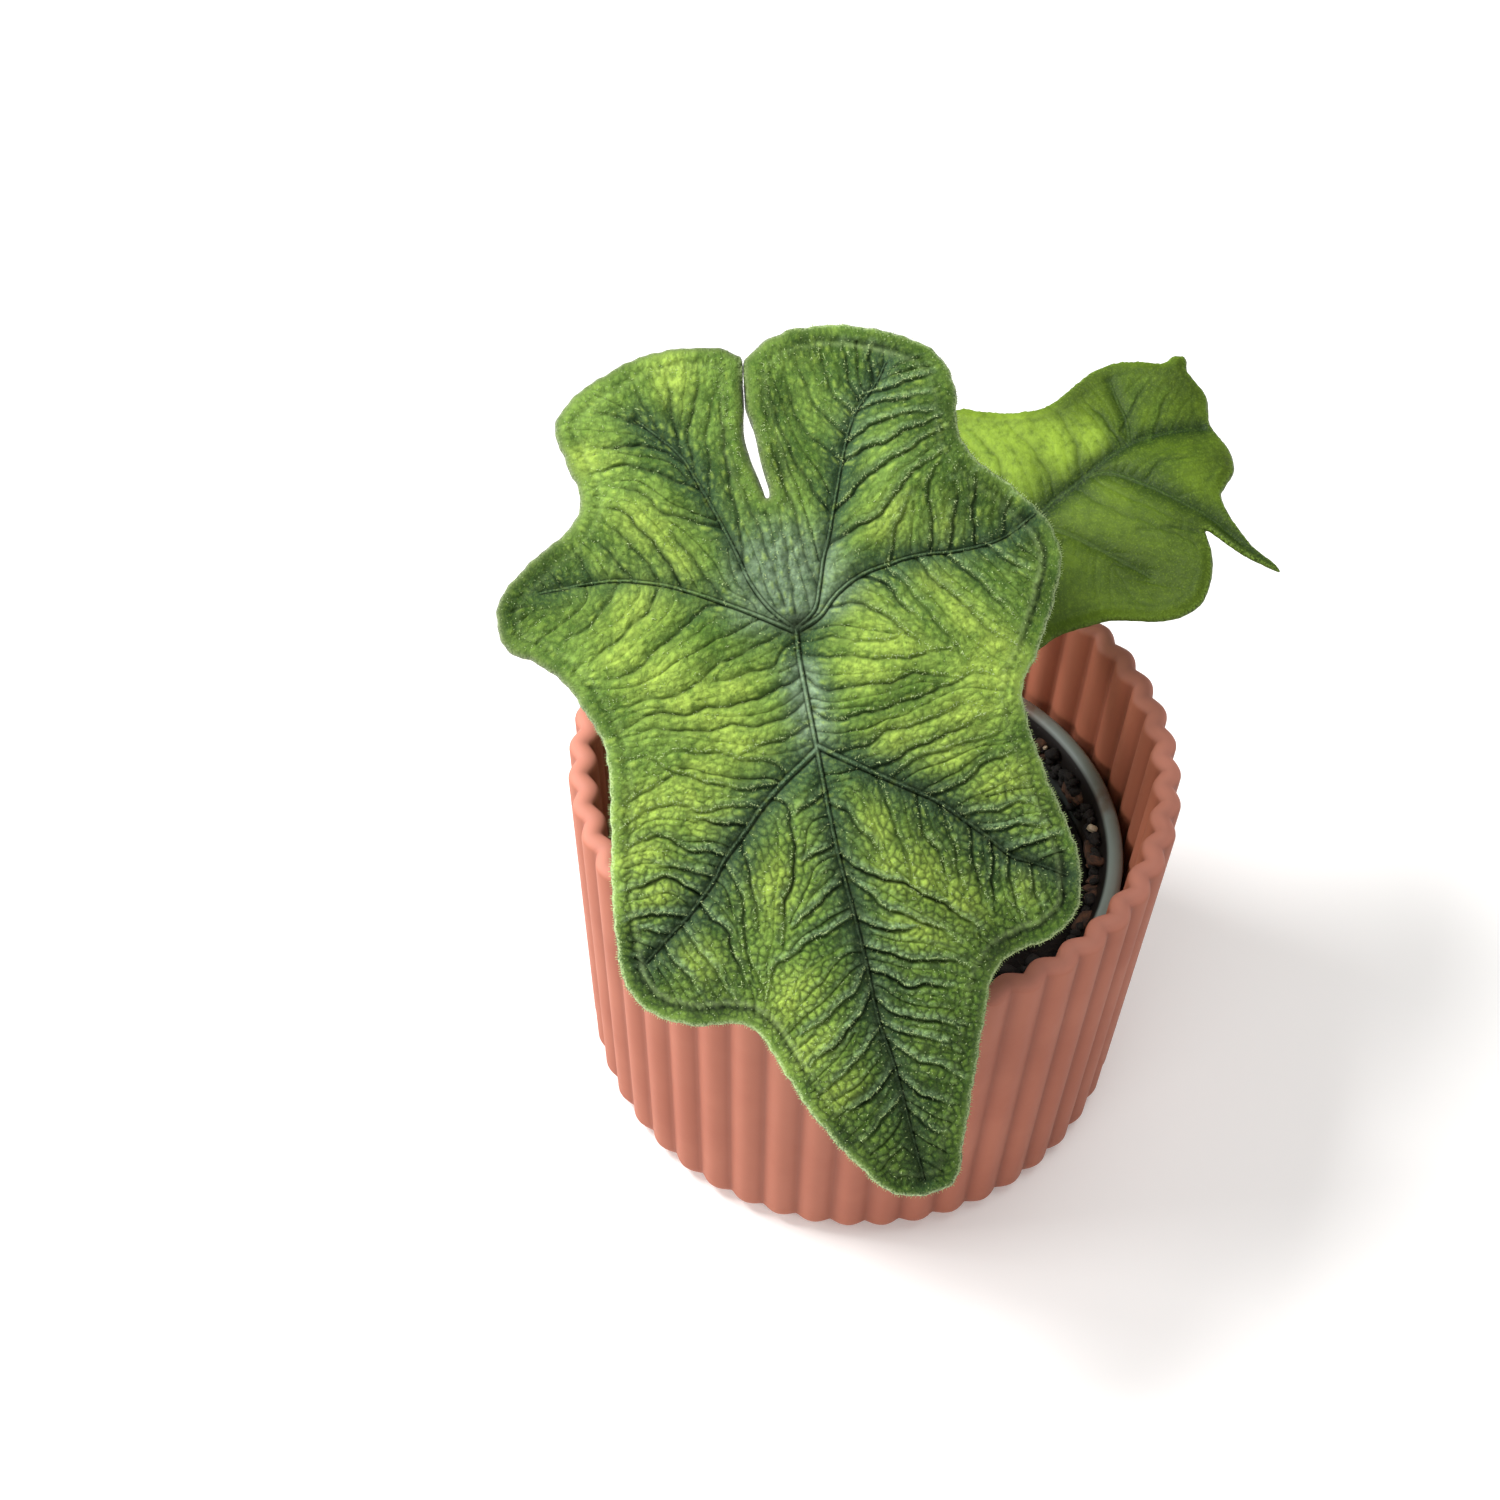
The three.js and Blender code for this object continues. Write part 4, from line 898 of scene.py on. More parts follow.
        # Painted highlight along the pleats' lit crests, also beside the fine veins.
        pleat = f["pleat"] * fold(f["side"], 1.4)
        fine_pleat = 0.65 * f["fine_pleat"] * f["fine_strength"] * fold(f["fine"], 0.8)
        vein = bell(f["main"], 0.8 * reach) * (0.5 + 0.5 * smoothstep(width, 0.2, 0.7))
        dotted = np.maximum(smoothstep(a, 30, 52), 0.8 * bell(edge, 4))
        return {
            "yellow": self.yellow_patches(np.column_stack([a, b])),
            # Dark shades: partly deeper green, partly painted shade.
            "shade": self.dark_shades(a, b),
            "grey": halo * (1 - 0.5 * smoothstep(a, 36, 60)),
            "pale": np.maximum(0.8 * above_hub, 1.1 * upper_midrib) * relief**2,
            "band": f["side_strength"] ** 1.5 * bell(f["side"], 0.8) * (0.3 + 0.7 * near_main),
            "line": np.maximum(line * f["clear"], ditch),
            "crest": crest * (1 - 0.6 * smoothstep(a, 20, 45)),
            # Painted highlight on the pleats, less towards the tip.
            "pleat": np.maximum(pleat, fine_pleat) * (1 - 0.75 * smoothstep(a, 52, 66)),
            "vein": vein * (1 - 0.4 * smoothstep(a, 14, 26)),
            "spot": bell(np.hypot(a + 0.9, 0.6 * (b - 0.3)), 1.2) * relief,
            "dotted": dotted * (1 - 0.5 * smoothstep(a, 54, 64)),
            # Painted shade: a dark line in the groove inside the margin.
            "groove": bell(edge - GROOVE_PLACE, 0.3) * f["grooved"],
            "band_rim": bell(edge - BAND_PLACE, 0.3) * f["grooved"],
            "rim": bell(edge - 0.12, 0.32) * (0.35 + 0.65 * hairy),
            "brown_rim": bell(edge, 0.8) * (1 - hairy) * relief**2,
        }


@dataclass
class Wire:
    """A shader value that takes part in plain arithmetic."""

    shader: object
    socket: object

    def maths(self, operation, other):
        """Adds a Math node on this value and another value or wire."""
        return self.shader.node("ShaderNodeMath", {"operation": operation}, [self, other])

    def __add__(self, other):
        return self.maths("ADD", other)

    def __mul__(self, other):
        return self.maths("MULTIPLY", other)

    __radd__ = __add__
    __rmul__ = __mul__


class Shader:
    """The node tree of one material."""

    SOCKETS = {
        "specular": "Specular IOR Level",
        "sheen": "Sheen Weight",
        "sheen_roughness": "Sheen Roughness",
        "glow": "Emission Strength",
        "glow_colour": "Emission Color",
    }

    def __init__(self, name):
        self.material = bpy.data.materials.new(name)
        self.material.use_nodes = True
        self.nodes = self.material.node_tree.nodes
        self.links = self.material.node_tree.links
        self.nodes.clear()

    def node(self, kind, settings, inputs, output=0):
        """Adds a node. Inputs are values or wires, by position or by name or index in a dict."""
        node = self.nodes.new(kind)
        for key, value in settings.items():
            setattr(node, key, value)
        pairs = inputs.items() if isinstance(inputs, dict) else enumerate(inputs)
        for key, value in pairs:
            if isinstance(value, Wire):
                self.links.new(value.socket, node.inputs[key])
            elif value is not None:
                node.inputs[key].default_value = value
        return Wire(self, node.outputs[output])

    def mix(self, share, low, high):
        """A colour between low and high."""
        settings = {"data_type": "RGBA", "clamp_factor": True}
        return self.node("ShaderNodeMix", settings, {0: share, 6: low, 7: high}, 2)

    def rise(self, value, low, high):
        """A smooth rise from 0 to 1 as the value goes from low to high."""
        settings = {"interpolation_type": "SMOOTHSTEP"}
        return self.node("ShaderNodeMapRange", settings, [value, low, high])

    def attribute(self, name):
        """A share stored on the piece's vertices."""
        return self.node("ShaderNodeAttribute", {"attribute_name": name}, [], "Fac")

    def place(self):
        """Place on the piece, in metres."""
        return self.node("ShaderNodeTexCoord", {}, [], "Object")

    def plane(self):
        """Place in the leaf plane, in millimetres."""
        return self.node("ShaderNodeUVMap", {"uv_map": "leaf_plane"}, [])

    def stretched(self, vector, scale):
        """A place with each axis scaled."""
        return self.node("ShaderNodeMapping", {}, {"Vector": vector, "Scale": scale})

    def noise(self, vector, scale, detail=3, rough=0.5, distortion=0.0):
        """Cloudy values about one half."""
        inputs = {"Vector": vector, "Scale": scale, "Detail": detail, "Roughness": rough}
        inputs["Distortion"] = distortion
        return self.node("ShaderNodeTexNoise", {}, inputs)

    def cells(self, vector, scale):
        """Distance from the nearest of many scattered points."""
        inputs = {"Vector": vector, "Scale": scale}
        return self.node("ShaderNodeTexVoronoi", {"feature": "F1"}, inputs, "Distance")

    def bump(self, height, distance, strength):
        """A normal that makes the height look raised."""
        inputs = {"Strength": strength, "Distance": distance, "Height": height}
        return self.node("ShaderNodeBump", {}, inputs)

    def finish(self, colour, roughness, normal=None, **constants):
        """Ends the tree in one principled surface."""
        inputs = {"Base Color": colour, "Roughness": roughness, "Normal": normal}
        inputs.update({self.SOCKETS[key]: value for key, value in constants.items()})
        surface = self.node("ShaderNodeBsdfPrincipled", {}, inputs)
        out = self.nodes.new("ShaderNodeOutputMaterial")
        self.links.new(surface.socket, out.inputs["Surface"])
        return self.material


# Finishes. Noise scales on a place are for metres, and those on the leaf plane for millimetres.
def coral_finish(settings):
    """Matt coral, with painted light on the inner wall and on the lip, and painted shade in the
    creases.
    """
    shader = Shader("coral_ceramic")
    place = shader.place()
    cloud = shader.noise(place, 60, 4)
    speck = shader.noise(place, 1600, 2)
    colour = shader.mix(shader.rise(cloud, 0.35, 0.7), settings.pot_colour, settings.pot_shade)
    # Painted light: the inner wall is mixed towards a paler coral.
    colour = shader.mix(shader.attribute("inside") * 0.8, colour, srgb(212, 130, 100))
    # Painted shade: the flutes' creases are mixed towards a dark brown coral.
    colour = shader.mix(shader.attribute("painted_crease_shade") * 0.5, colour, srgb(120, 62, 46))
    # Painted light: the top of the rim is mixed towards a paler coral.
    colour = shader.mix(shader.attribute("lip") * 0.55, colour, srgb(214, 144, 126))
    grain = shader.bump(speck, 0.00006, 0.25)
    return shader.finish(colour, 0.56 + 0.1 * cloud, grain, specular=0.3)


def nursery_finish(settings):
    """Grey-green plastic with soil smudges, and its inner wall darkened towards the soil's colour near
    the soil.
    """
    shader = Shader("nursery_plastic")
    place = shader.place()
    smudge = shader.rise(shader.noise(place, 45, 5, 0.65), 0.54, 0.7)
    film = shader.noise(place, 140, 4)
    clean = shader.mix(film, settings.nursery_colour, srgb(138, 150, 144))
    colour = shader.mix(smudge * 0.75, clean, srgb(84, 62, 48))
    smudged = shader.attribute("smudged") * shader.rise(film, 0.3, 0.6)
    colour = shader.mix(smudged, colour, srgb(104, 76, 58))
    # The inner wall near the soil is darkened towards the soil's colour in an even crumbly noise.
    crumbs = shader.rise(shader.noise(place, 700, 4, 0.7), 0.05, 0.35)
    colour = shader.mix(shader.attribute("darkened_inner_wall") * crumbs, colour, settings.soil_colour)
    return shader.finish(colour, 0.42 + 0.3 * smudge, shader.bump(film, 0.0002, 0.3), specular=0.4)


def soil_finish(settings):
    """Damp dark mix with a few paler fibres."""
    shader = Shader("potting_soil")
    place = shader.place()
    lumps = shader.noise(place, 420, 6, 0.7)
    fibre = shader.noise(shader.stretched(place, (1, 5, 2)), 500, 4, 0.6)
    colour = shader.mix(shader.rise(fibre, 0.5, 0.8), settings.soil_colour, srgb(46, 33, 24))
    return shader.finish(colour, 0.88, shader.bump(lumps + 0.5 * fibre, 0.0012, 0.8), specular=0.3)


def bit_finish(name, light, dark):
    """Rough grain of two tones, for chips, crumbs, grit and the corm."""
    shader = Shader(name)
    place = shader.place()
    grain = shader.noise(shader.stretched(place, (1, 1, 6)), 700, 4, 0.6)
    colour = shader.mix(shader.rise(grain, 0.3, 0.75), dark, light)
    return shader.finish(colour, 0.85, shader.bump(grain, 0.0004, 0.6))


def petiole_finish(settings):
    """Pale green skin with darker flecks drawn out along it."""
    shader = Shader("petiole_skin")
    place = shader.place()
    streaks = shader.noise(shader.stretched(place, (1, 1, 0.35)), 520, 3, 0.6, 0.6)
    fleck = shader.rise(streaks, 0.5, 0.62)
    cloud = shader.noise(place, 90, 3)
    green = shader.mix(cloud, settings.petiole_colour, srgb(150, 168, 104))
    colour = shader.mix(fleck * 0.7, green, srgb(92, 84, 62))
    return shader.finish(colour, 0.5, shader.bump(fleck, 0.0001, 0.3), sheen=0.25, sheen_roughness=0.6)


def leaf_finish(leaf):
    """A blade, mixed from its tones in the order of the coats, each over the ones before it."""
    shader = Shader(leaf.name)
    share = shader.attribute
    fine = leaf.relief
    tones = {name: srgb(*screen) for name, screen in TONES[leaf.name].items()}
    plane = shader.plane()
    cloud = shader.noise(plane, 0.13, 3, 0.55)
    mottle = shader.noise(plane, 0.7, 4, 0.65)
    grain = shader.noise(plane, 3.4, 4, 0.65)
    dots = shader.rise(shader.cells(plane, 1.7), 0.2, 0.06) * share("dotted")
    coats = (
        (share("yellow") * shader.rise(mottle, 0.15, 0.6) * 0.78, "bright"),
        # Dark shades coat: partly the leaf's deeper green, partly painted shade.
        (share("shade") * 0.85, "shade"),
        (share("band") * 0.75, "grey"),
        (share("grey") * shader.rise(mottle, -0.1, 0.4), "grey"),
        (share("pale") * shader.rise(mottle, 0.2, 0.65) * 0.85, "pale"),
        # Painted highlight on the net's crests.
        (share("crest") * 0.3 * fine, "bright"),
        (shader.rise(grain, 0.5, 0.7) * 0.2, "bright"),
        # Painted highlight along the pleats' crests.
        (share("pleat") * (0.35 + shader.rise(grain, 0.35, 0.6)), "pleat"),
        # Dark vein lines and ditches: partly the veins' own colour, partly painted shade in the
        # creases.
        (share("line") * 0.95 * fine**0.8, "line"),
        # Painted shade in the groove inside the margin.
        (share("groove") * 0.75, "line"),
        (share("band_rim") * 0.2, "rim"),
        (share("vein") * shader.rise(grain, 0.4, 0.62) * 0.7, "vein"),
        (share("spot") * 0.85, "spot"),
        (dots * 0.8 * fine, "rim"),
        (share("brown_rim") * 0.8, "brown_rim"),
        (share("rim") * shader.rise(grain, 0.4, 0.56) * 0.85, "rim"),
    )
    patchy = shader.rise(cloud + 0.5 * mottle, 0.61, 0.93)
    colour = shader.mix(patchy, tones["deep"], tones["panel"])
    for coat, tone in coats:
        colour = shader.mix(coat, colour, tones[tone])
    bump = shader.bump(grain + 0.5 * dots, 0.0005 * fine, 0.8)
    return shader.finish(colour, 0.4 + 0.2 * grain, bump, specular=0.2)


def hair_finish():
    """Pale green hairs, a little uneven in tone."""
    shader = Shader("leaf_hairs")
    tone = shader.noise(shader.place(), 900, 1)
    colour = shader.mix(tone, srgb(158, 186, 110), srgb(212, 228, 168))
    return shader.finish(colour, 0.5, specular=0.3)


# Meshes
def deselect():
    """Leaves nothing selected, because an operator acts on all that is."""
    bpy.ops.object.select_all(action="DESELECT")


def mesh_object(name, points, faces):
    """A smooth-shaded piece from points in metres and faces."""
    mesh = bpy.data.meshes.new(name)
    mesh.from_pydata([tuple(p) for p in points], [], [tuple(f) for f in faces])
    mesh.validate()
    piece = bpy.data.objects.new(name, mesh)
    bpy.context.scene.collection.objects.link(piece)
    mesh.polygons.foreach_set("use_smooth", [True] * len(mesh.polygons))
    return piece


def coordinates(piece):
    """The piece's points in metres, one in each row."""
    flat = np.zeros(len(piece.data.vertices) * 3)
    piece.data.vertices.foreach_get("co", flat)
    return flat.reshape(-1, 3)


def set_coordinates(piece, points):
    """Moves the piece's points, in metres."""
    piece.data.vertices.foreach_set("co", np.asarray(points, float).ravel())
    piece.data.update()


def add_attribute(piece, name, values):
    """Stores a share for each point, for the finishes to read."""
    attribute = piece.data.attributes.new(name, "FLOAT", "POINT")
    attribute.data.foreach_set("value", np.asarray(values, np.float32))


def dress(piece, material, slot, *nodes):
    """Gives a piece its material and its body, and hides the CAD nodes that it stands for. The slot is
    not used.
    """
    piece.data.materials.clear()
    piece.data.materials.append(material)
    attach(piece, "root")
    if nodes:
        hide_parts(*nodes)


def tidy_normals(piece):
    """Merges doubles and points the faces outwards."""
    deselect()
    piece.select_set(True)
    bpy.context.view_layer.objects.active = piece
    bpy.ops.object.mode_set(mode="EDIT")
    bpy.ops.mesh.select_all(action="SELECT")
    bpy.ops.mesh.remove_doubles(threshold=1e-6)
    bpy.ops.mesh.normals_make_consistent(inside=False)
    bpy.ops.object.mode_set(mode="OBJECT")


def turned(name, profile, columns, centre=(0, 0)):
    """A circle extruded and resized from one profile point to the next, closed at both ends."""
    deselect()
    (radius, height), *rest = [(r * MM, z * MM) for r, z in profile]
    x, y = centre[0] * MM, centre[1] * MM
    bpy.ops.mesh.primitive_circle_add(
        vertices=columns, radius=radius, location=(x, y, height), fill_type="NGON", enter_editmode=True
    )
    piece = bpy.context.object
    piece.name = name
    for next_radius, next_height in rest:
        bpy.ops.mesh.extrude_region_move(TRANSFORM_OT_translate={"value": (0, 0, next_height - height)})
        share = next_radius / radius
        bpy.ops.transform.resize(value=(share, share, 1), center_override=(x, y, next_height))
        radius, height = next_radius, next_height
    bpy.ops.object.mode_set(mode="OBJECT")
    bpy.ops.object.transform_apply(location=True, rotation=True, scale=True)
    bpy.ops.object.shade_smooth()
    return piece


class PlantSettings(bpy.types.PropertyGroup):
    """Sizes and colours of the plant that a user may change."""

    colour = {"subtype": "COLOR", "size": 4, "min": 0, "max": 1}
    pot_colour: bpy.props.FloatVectorProperty(
        name="Pot colour",
        description="Coral of the fluted pot",
        default=srgb(173, 103, 79),
        **colour,
    )
    pot_shade: bpy.props.FloatVectorProperty(
        name="Pot shade",
        description="Darker clouds in the pot's colour",
        default=srgb(165, 95, 72),
        **colour,
    )
    nursery_colour: bpy.props.FloatVectorProperty(
        name="Nursery pot colour",
        description="Grey-green plastic",
        default=srgb(132, 147, 141),
        **colour,
    )
    soil_colour: bpy.props.FloatVectorProperty(
        name="Soil colour",
        description="Damp potting mix",
        default=srgb(22, 17, 14),
        **colour,
    )
    petiole_colour: bpy.props.FloatVectorProperty(
        name="Petiole colour",
        description="Green of the petioles",
        default=srgb(128, 150, 84),
        **colour,
    )
    hair_length: bpy.props.FloatProperty(
        name="Hair length",
        description="Length of the hairs on the leaves",
        default=0.45 * MM,
        unit="LENGTH",
    )


class ALOCASIA_OT_outer_pot(bpy.types.Operator):
    """Fluted coral pot with a rounded, scalloped rim"""

    bl_idname = "alocasia.outer_pot"
    bl_label = "Fluted pot"

    def profile(self):
        """Radius and height of each row, and how far the outer and the inner flutes show there."""
        wall_rise = POT_HEIGHT - POT_FOOT_ROUND
        taper = POT_RADIUS - POT_FOOT_RADIUS
        foot = []
        for angle in range(0, 91, 10):
            turn = math.radians(angle)
            radius = POT_FOOT_RADIUS - (POT_FOOT_RADIUS - POT_FLAT_RADIUS) * (1 - math.sin(turn))
            foot.append((radius, POT_FOOT_ROUND * (1 - math.cos(turn)), math.sin(turn)))
        rows = [(CENTRE_DISC, 0, 0, 0), (POT_FLAT_RADIUS, 0, 0, 0)]
        rows += [(radius, height, share, 0) for radius, height, share in foot[1:]]
        for share in (0.25, 0.5, 0.75):
            height = POT_FOOT_ROUND + share * (wall_rise - RIM_ROUND)
            rows.append((POT_FOOT_RADIUS + share * taper, height, 1, 0))
        for angle in range(0, 181, 15):
            turn = math.radians(angle)
            radius = POT_RADIUS - POT_WALL / 2 * (1 - math.cos(turn))
            blend = 0.5 - 0.5 * math.cos(turn)
            rows.append((radius, POT_HEIGHT - RIM_ROUND * (1 - math.sin(turn)), 1 - blend, blend))
        for share in (0.3, 0.6, 0.9):
            height = POT_HEIGHT - RIM_ROUND - share * (wall_rise - 6)
            rows.append((POT_RADIUS - POT_WALL - share * taper, height, 0, 1))
        for radius, height, share in foot[-2::-1]:
            rows.append((radius - POT_WALL, POT_FLOOR + height, 0, share))
        rows.append((CENTRE_DISC, POT_FLOOR, 0, 0))
        return rows

    def execute(self, context):
        rows = self.profile()
        columns = FLUTES * COLUMNS_PER_FLUTE
        piece = turned("fluted_pot", [row[:2] for row in rows], columns)
        points = coordinates(piece)
        angle = np.arctan2(points[:, 1], points[:, 0]) - FLUTE_PHASE
        outer = np.array([row[2] for row in rows]).repeat(columns)
        inner = np.array([row[3] for row in rows]).repeat(columns)
        crest = np.sqrt(np.sin(FLUTES / 2 * angle) ** 2 + CREASE_ROUNDING)
        valley = np.sqrt(np.cos(FLUTES / 2 * angle) ** 2 + CREASE_ROUNDING)
        depth = OUTER_FLUTE_DEPTH * outer * (1 - crest) + INNER_FLUTE_DEPTH * inner * valley
        radius = np.hypot(points[:, 0], points[:, 1])
        points[:, :2] *= ((radius - depth * MM) / radius)[:, None]
        set_coordinates(piece, points)
        # Painted shade in the creases of the outer and inner flutes, for the finish to darken.
        painted_crease_shade = outer * bell(crest, OUTER_CREASE_SHADE_WIDTH)
        painted_crease_shade += 0.8 * inner * bell(valley, INNER_CREASE_SHADE_WIDTH)
        below_top = POT_HEIGHT - points[:, 2] / MM
        add_attribute(piece, "painted_crease_shade", painted_crease_shade)
        # The inner share also carries painted light, which pales the inner wall.
        add_attribute(piece, "inside", inner)
        # Painted light on the top of the rim, for the finish to pale.
        add_attribute(piece, "lip", 1 - smoothstep(below_top, 0.3, 1.2))
        dress(piece, coral_finish(context.scene.plant_settings), "coral_ceramic", "outer_pot")
        return {"FINISHED"}


class ALOCASIA_OT_nursery_pot(bpy.types.Operator):
    """Thin nursery pot with a rolled lip and drain holes"""

    bl_idname = "alocasia.nursery_pot"
    bl_label = "Nursery pot"

    def execute(self, context):
        settings = context.scene.plant_settings
        slope = (NURSERY_TOP_RADIUS - NURSERY_FOOT_RADIUS) / (NURSERY_TOP - NURSERY_BASE)
        under_lip = NURSERY_TOP - NURSERY_LIP_HEIGHT
        wall = NURSERY_FOOT_RADIUS + slope * (under_lip - NURSERY_BASE)
        lip = NURSERY_LIP_RADIUS
        profile = [
            (0.4, NURSERY_BASE), (NURSERY_FOOT_RADIUS - 0.9, NURSERY_BASE),
            (NURSERY_FOOT_RADIUS - 0.2, NURSERY_BASE + 0.3), (NURSERY_FOOT_RADIUS, NURSERY_BASE + 1),
            (wall, under_lip), (lip - 0.4, under_lip + 0.05), (lip, under_lip + 0.5),
            (lip, NURSERY_TOP - 0.6), (lip - 0.25, NURSERY_TOP - 0.2), (lip - 0.7, NURSERY_TOP),
            (lip - 1.4, NURSERY_TOP), (lip - 1.9, NURSERY_TOP - 0.2), (lip - 2.3, NURSERY_TOP - 0.7),
            (wall - NURSERY_WALL, under_lip - 0.6), (NURSERY_FOOT_RADIUS - 0.9, NURSERY_BASE + 2),
            (NURSERY_FOOT_RADIUS - 1.8, NURSERY_BASE + 0.9), (0.4, NURSERY_BASE + 0.9),
        ]
        piece = turned("nursery_pot_shell", profile, NURSERY_COLUMNS, (NURSERY_X, 0))
        deselect()
        for hole in range(DRAIN_HOLES):
            angle = (hole + 0.5) / DRAIN_HOLES * TURN
            x = NURSERY_X + DRAIN_CIRCLE * math.cos(angle)
            spot = (x * MM, DRAIN_CIRCLE * math.sin(angle) * MM, NURSERY_BASE * MM)
            bpy.ops.mesh.primitive_cylinder_add(
                vertices=32, radius=DRAIN_RADIUS * MM, depth=4 * MM, location=spot
            )
            drill = context.object
            cut = piece.modifiers.new("drain", "BOOLEAN")
            cut.object = drill
            cut.operation = "DIFFERENCE"
            cut.solver = "EXACT"
            context.view_layer.objects.active = piece
            bpy.ops.object.modifier_apply(modifier="drain")
            bpy.data.objects.remove(drill)
        deselect()
        piece.select_set(True)
        bpy.ops.object.shade_smooth_by_angle(angle=math.radians(50))
        x, y, height = (coordinates(piece) / MM - (NURSERY_X, 0, 0)).T
        inside = (np.hypot(x, y) < lip - 2.1) & (height > NURSERY_BASE + 0.5)
        # Inner wall from a little below the soil up to the lip, which the finish darkens.
        add_attribute(piece, "darkened_inner_wall", inside & (height > SOIL_TOP - 8))
        turn = np.degrees(np.arctan2(y, x))
        smudged = sum(bell(turn - spot, width) for spot, width in NURSERY_SMUDGES)
        add_attribute(piece, "smudged", smudged)
        dress(piece, nursery_finish(settings), "nursery_plastic", "nursery_pot")
        return {"FINISHED"}


def soil_height(x, y):
    """Uneven top of the soil, as in the CAD model."""
    lump = np.sin(0.41 * x + 1.3) * np.cos(0.37 * y) + 0.6 * np.sin(0.83 * y + 0.5 * x)
    return SOIL_TOP + 0.7 * (lump + 0.4 * np.cos(0.9 * x - 0.6 * y))


class ALOCASIA_OT_soil(bpy.types.Operator):
    """Potting mix with bark chips, crumbs and pale grit"""

    bl_idname = "alocasia.soil"
    bl_label = "Soil"

    def execute(self, context):
        settings = context.scene.plant_settings
        random = np.random.default_rng(3)
        wall = [
            (0.4, SOIL_BOTTOM), (SOIL_FOOT_RADIUS, SOIL_BOTTOM), (SOIL_RADIUS - 0.4, SOIL_TOP - 3),
            (SOIL_RADIUS, SOIL_TOP - 1.5),
        ]
        top_rings = [(radius, SOIL_TOP) for radius in np.linspace(SOIL_RADIUS - 0.3, 0.3, 64)]
        columns = 200
        piece = turned("soil_bed", wall + top_rings, columns, (NURSERY_X, 0))
        points = coordinates(piece) / MM
        top = np.arange(len(points)) >= len(wall) * columns
        x, y = points[:, 0], points[:, 1]
        crumb = sum(
            size * np.sin(wave * (x * math.cos(turn) + y * math.sin(turn)) + phase)
            for size, wave, turn, phase in zip(
                random.uniform(0.08, 0.22, 16), random.uniform(1.2, 4.2, 16),
                random.uniform(0, TURN, 16), random.uniform(0, TURN, 16),
            )
        )
        edge = smoothstep(SOIL_RADIUS - np.hypot(x - NURSERY_X, y), 0, 3)
        height = soil_height(x, y) + crumb * edge - 0.8 * (1 - edge)
        points[:, 2] = np.where(top, height, points[:, 2])
        set_coordinates(piece, points * MM)
        dress(piece, soil_finish(settings), "potting_soil", "soil")
        bark = bit_finish("bark", srgb(98, 64, 42), srgb(34, 24, 18))
        crumbs = bit_finish("crumb", srgb(31, 24, 19), srgb(11, 9, 8))
        grit = bit_finish("grit", srgb(206, 190, 164), srgb(150, 130, 104))
        self.scatter("bark_chips", bark, 44, (3.6, 2, 1.1), random)
        self.scatter("soil_crumbs", crumbs, 400, (1.5, 1.2, 0.9), random)
        self.scatter("pale_grit", grit, 26, (1.3, 1, 0.8), random)
        return {"FINISHED"}

    def scatter(self, name, finish, count, size, random):
        """Lumps of one kind, in one piece: half of them on the soil, half against the pot's wall."""
        deselect()
        bpy.ops.mesh.primitive_ico_sphere_add(subdivisions=2, radius=1)
        model = bpy.context.object
        ball = coordinates(model)
        faces = np.array([tuple(face.vertices) for face in model.data.polygons])
        bpy.data.objects.remove(model)
        points, triangles = [], []
        for i in range(count):
            while True:
                x, y = random.uniform(-SOIL_RADIUS, SOIL_RADIUS, 2)
                inside = math.hypot(x, y) < SOIL_RADIUS - 2.5
                if inside and math.hypot(x + NURSERY_X - STEM_X, y - STEM_Y) > STEM_RADIUS + 1.5:
                    break
            scale = np.array(size) * random.uniform(0.55, 1.25)
            climb = 0
            if i % 2 == 0:
                turn = random.uniform(-0.9, 1.5)
                x, y = (SOIL_RADIUS + 0.4) * math.cos(turn), (SOIL_RADIUS + 0.4) * math.sin(turn)
                scale *= 0.6
                climb = random.uniform(0.4, 4.6)
            x += NURSERY_X
            wave = random.uniform(1.5, 3.5, (3, 3))
            lump = ball * (1 + 0.22 * np.sin(ball @ wave.T + random.uniform(0, TURN, 3)))
            lump = np.clip(lump, -0.8, 0.8) * scale
            spin = Matrix.Rotation(random.uniform(0, TURN), 3, "Z")
            lean = Matrix.Rotation(random.normal(0, 0.35), 3, "X")
            spot = (x, y, soil_height(x, y) + 0.2 * scale[2] + climb)
            points.append(lump @ np.array(spin @ lean).T + spot)
            triangles.append(faces + len(ball) * i)
        piece = mesh_object(name, np.vstack(points) * MM, np.vstack(triangles))
        dress(piece, finish, "potting_soil")


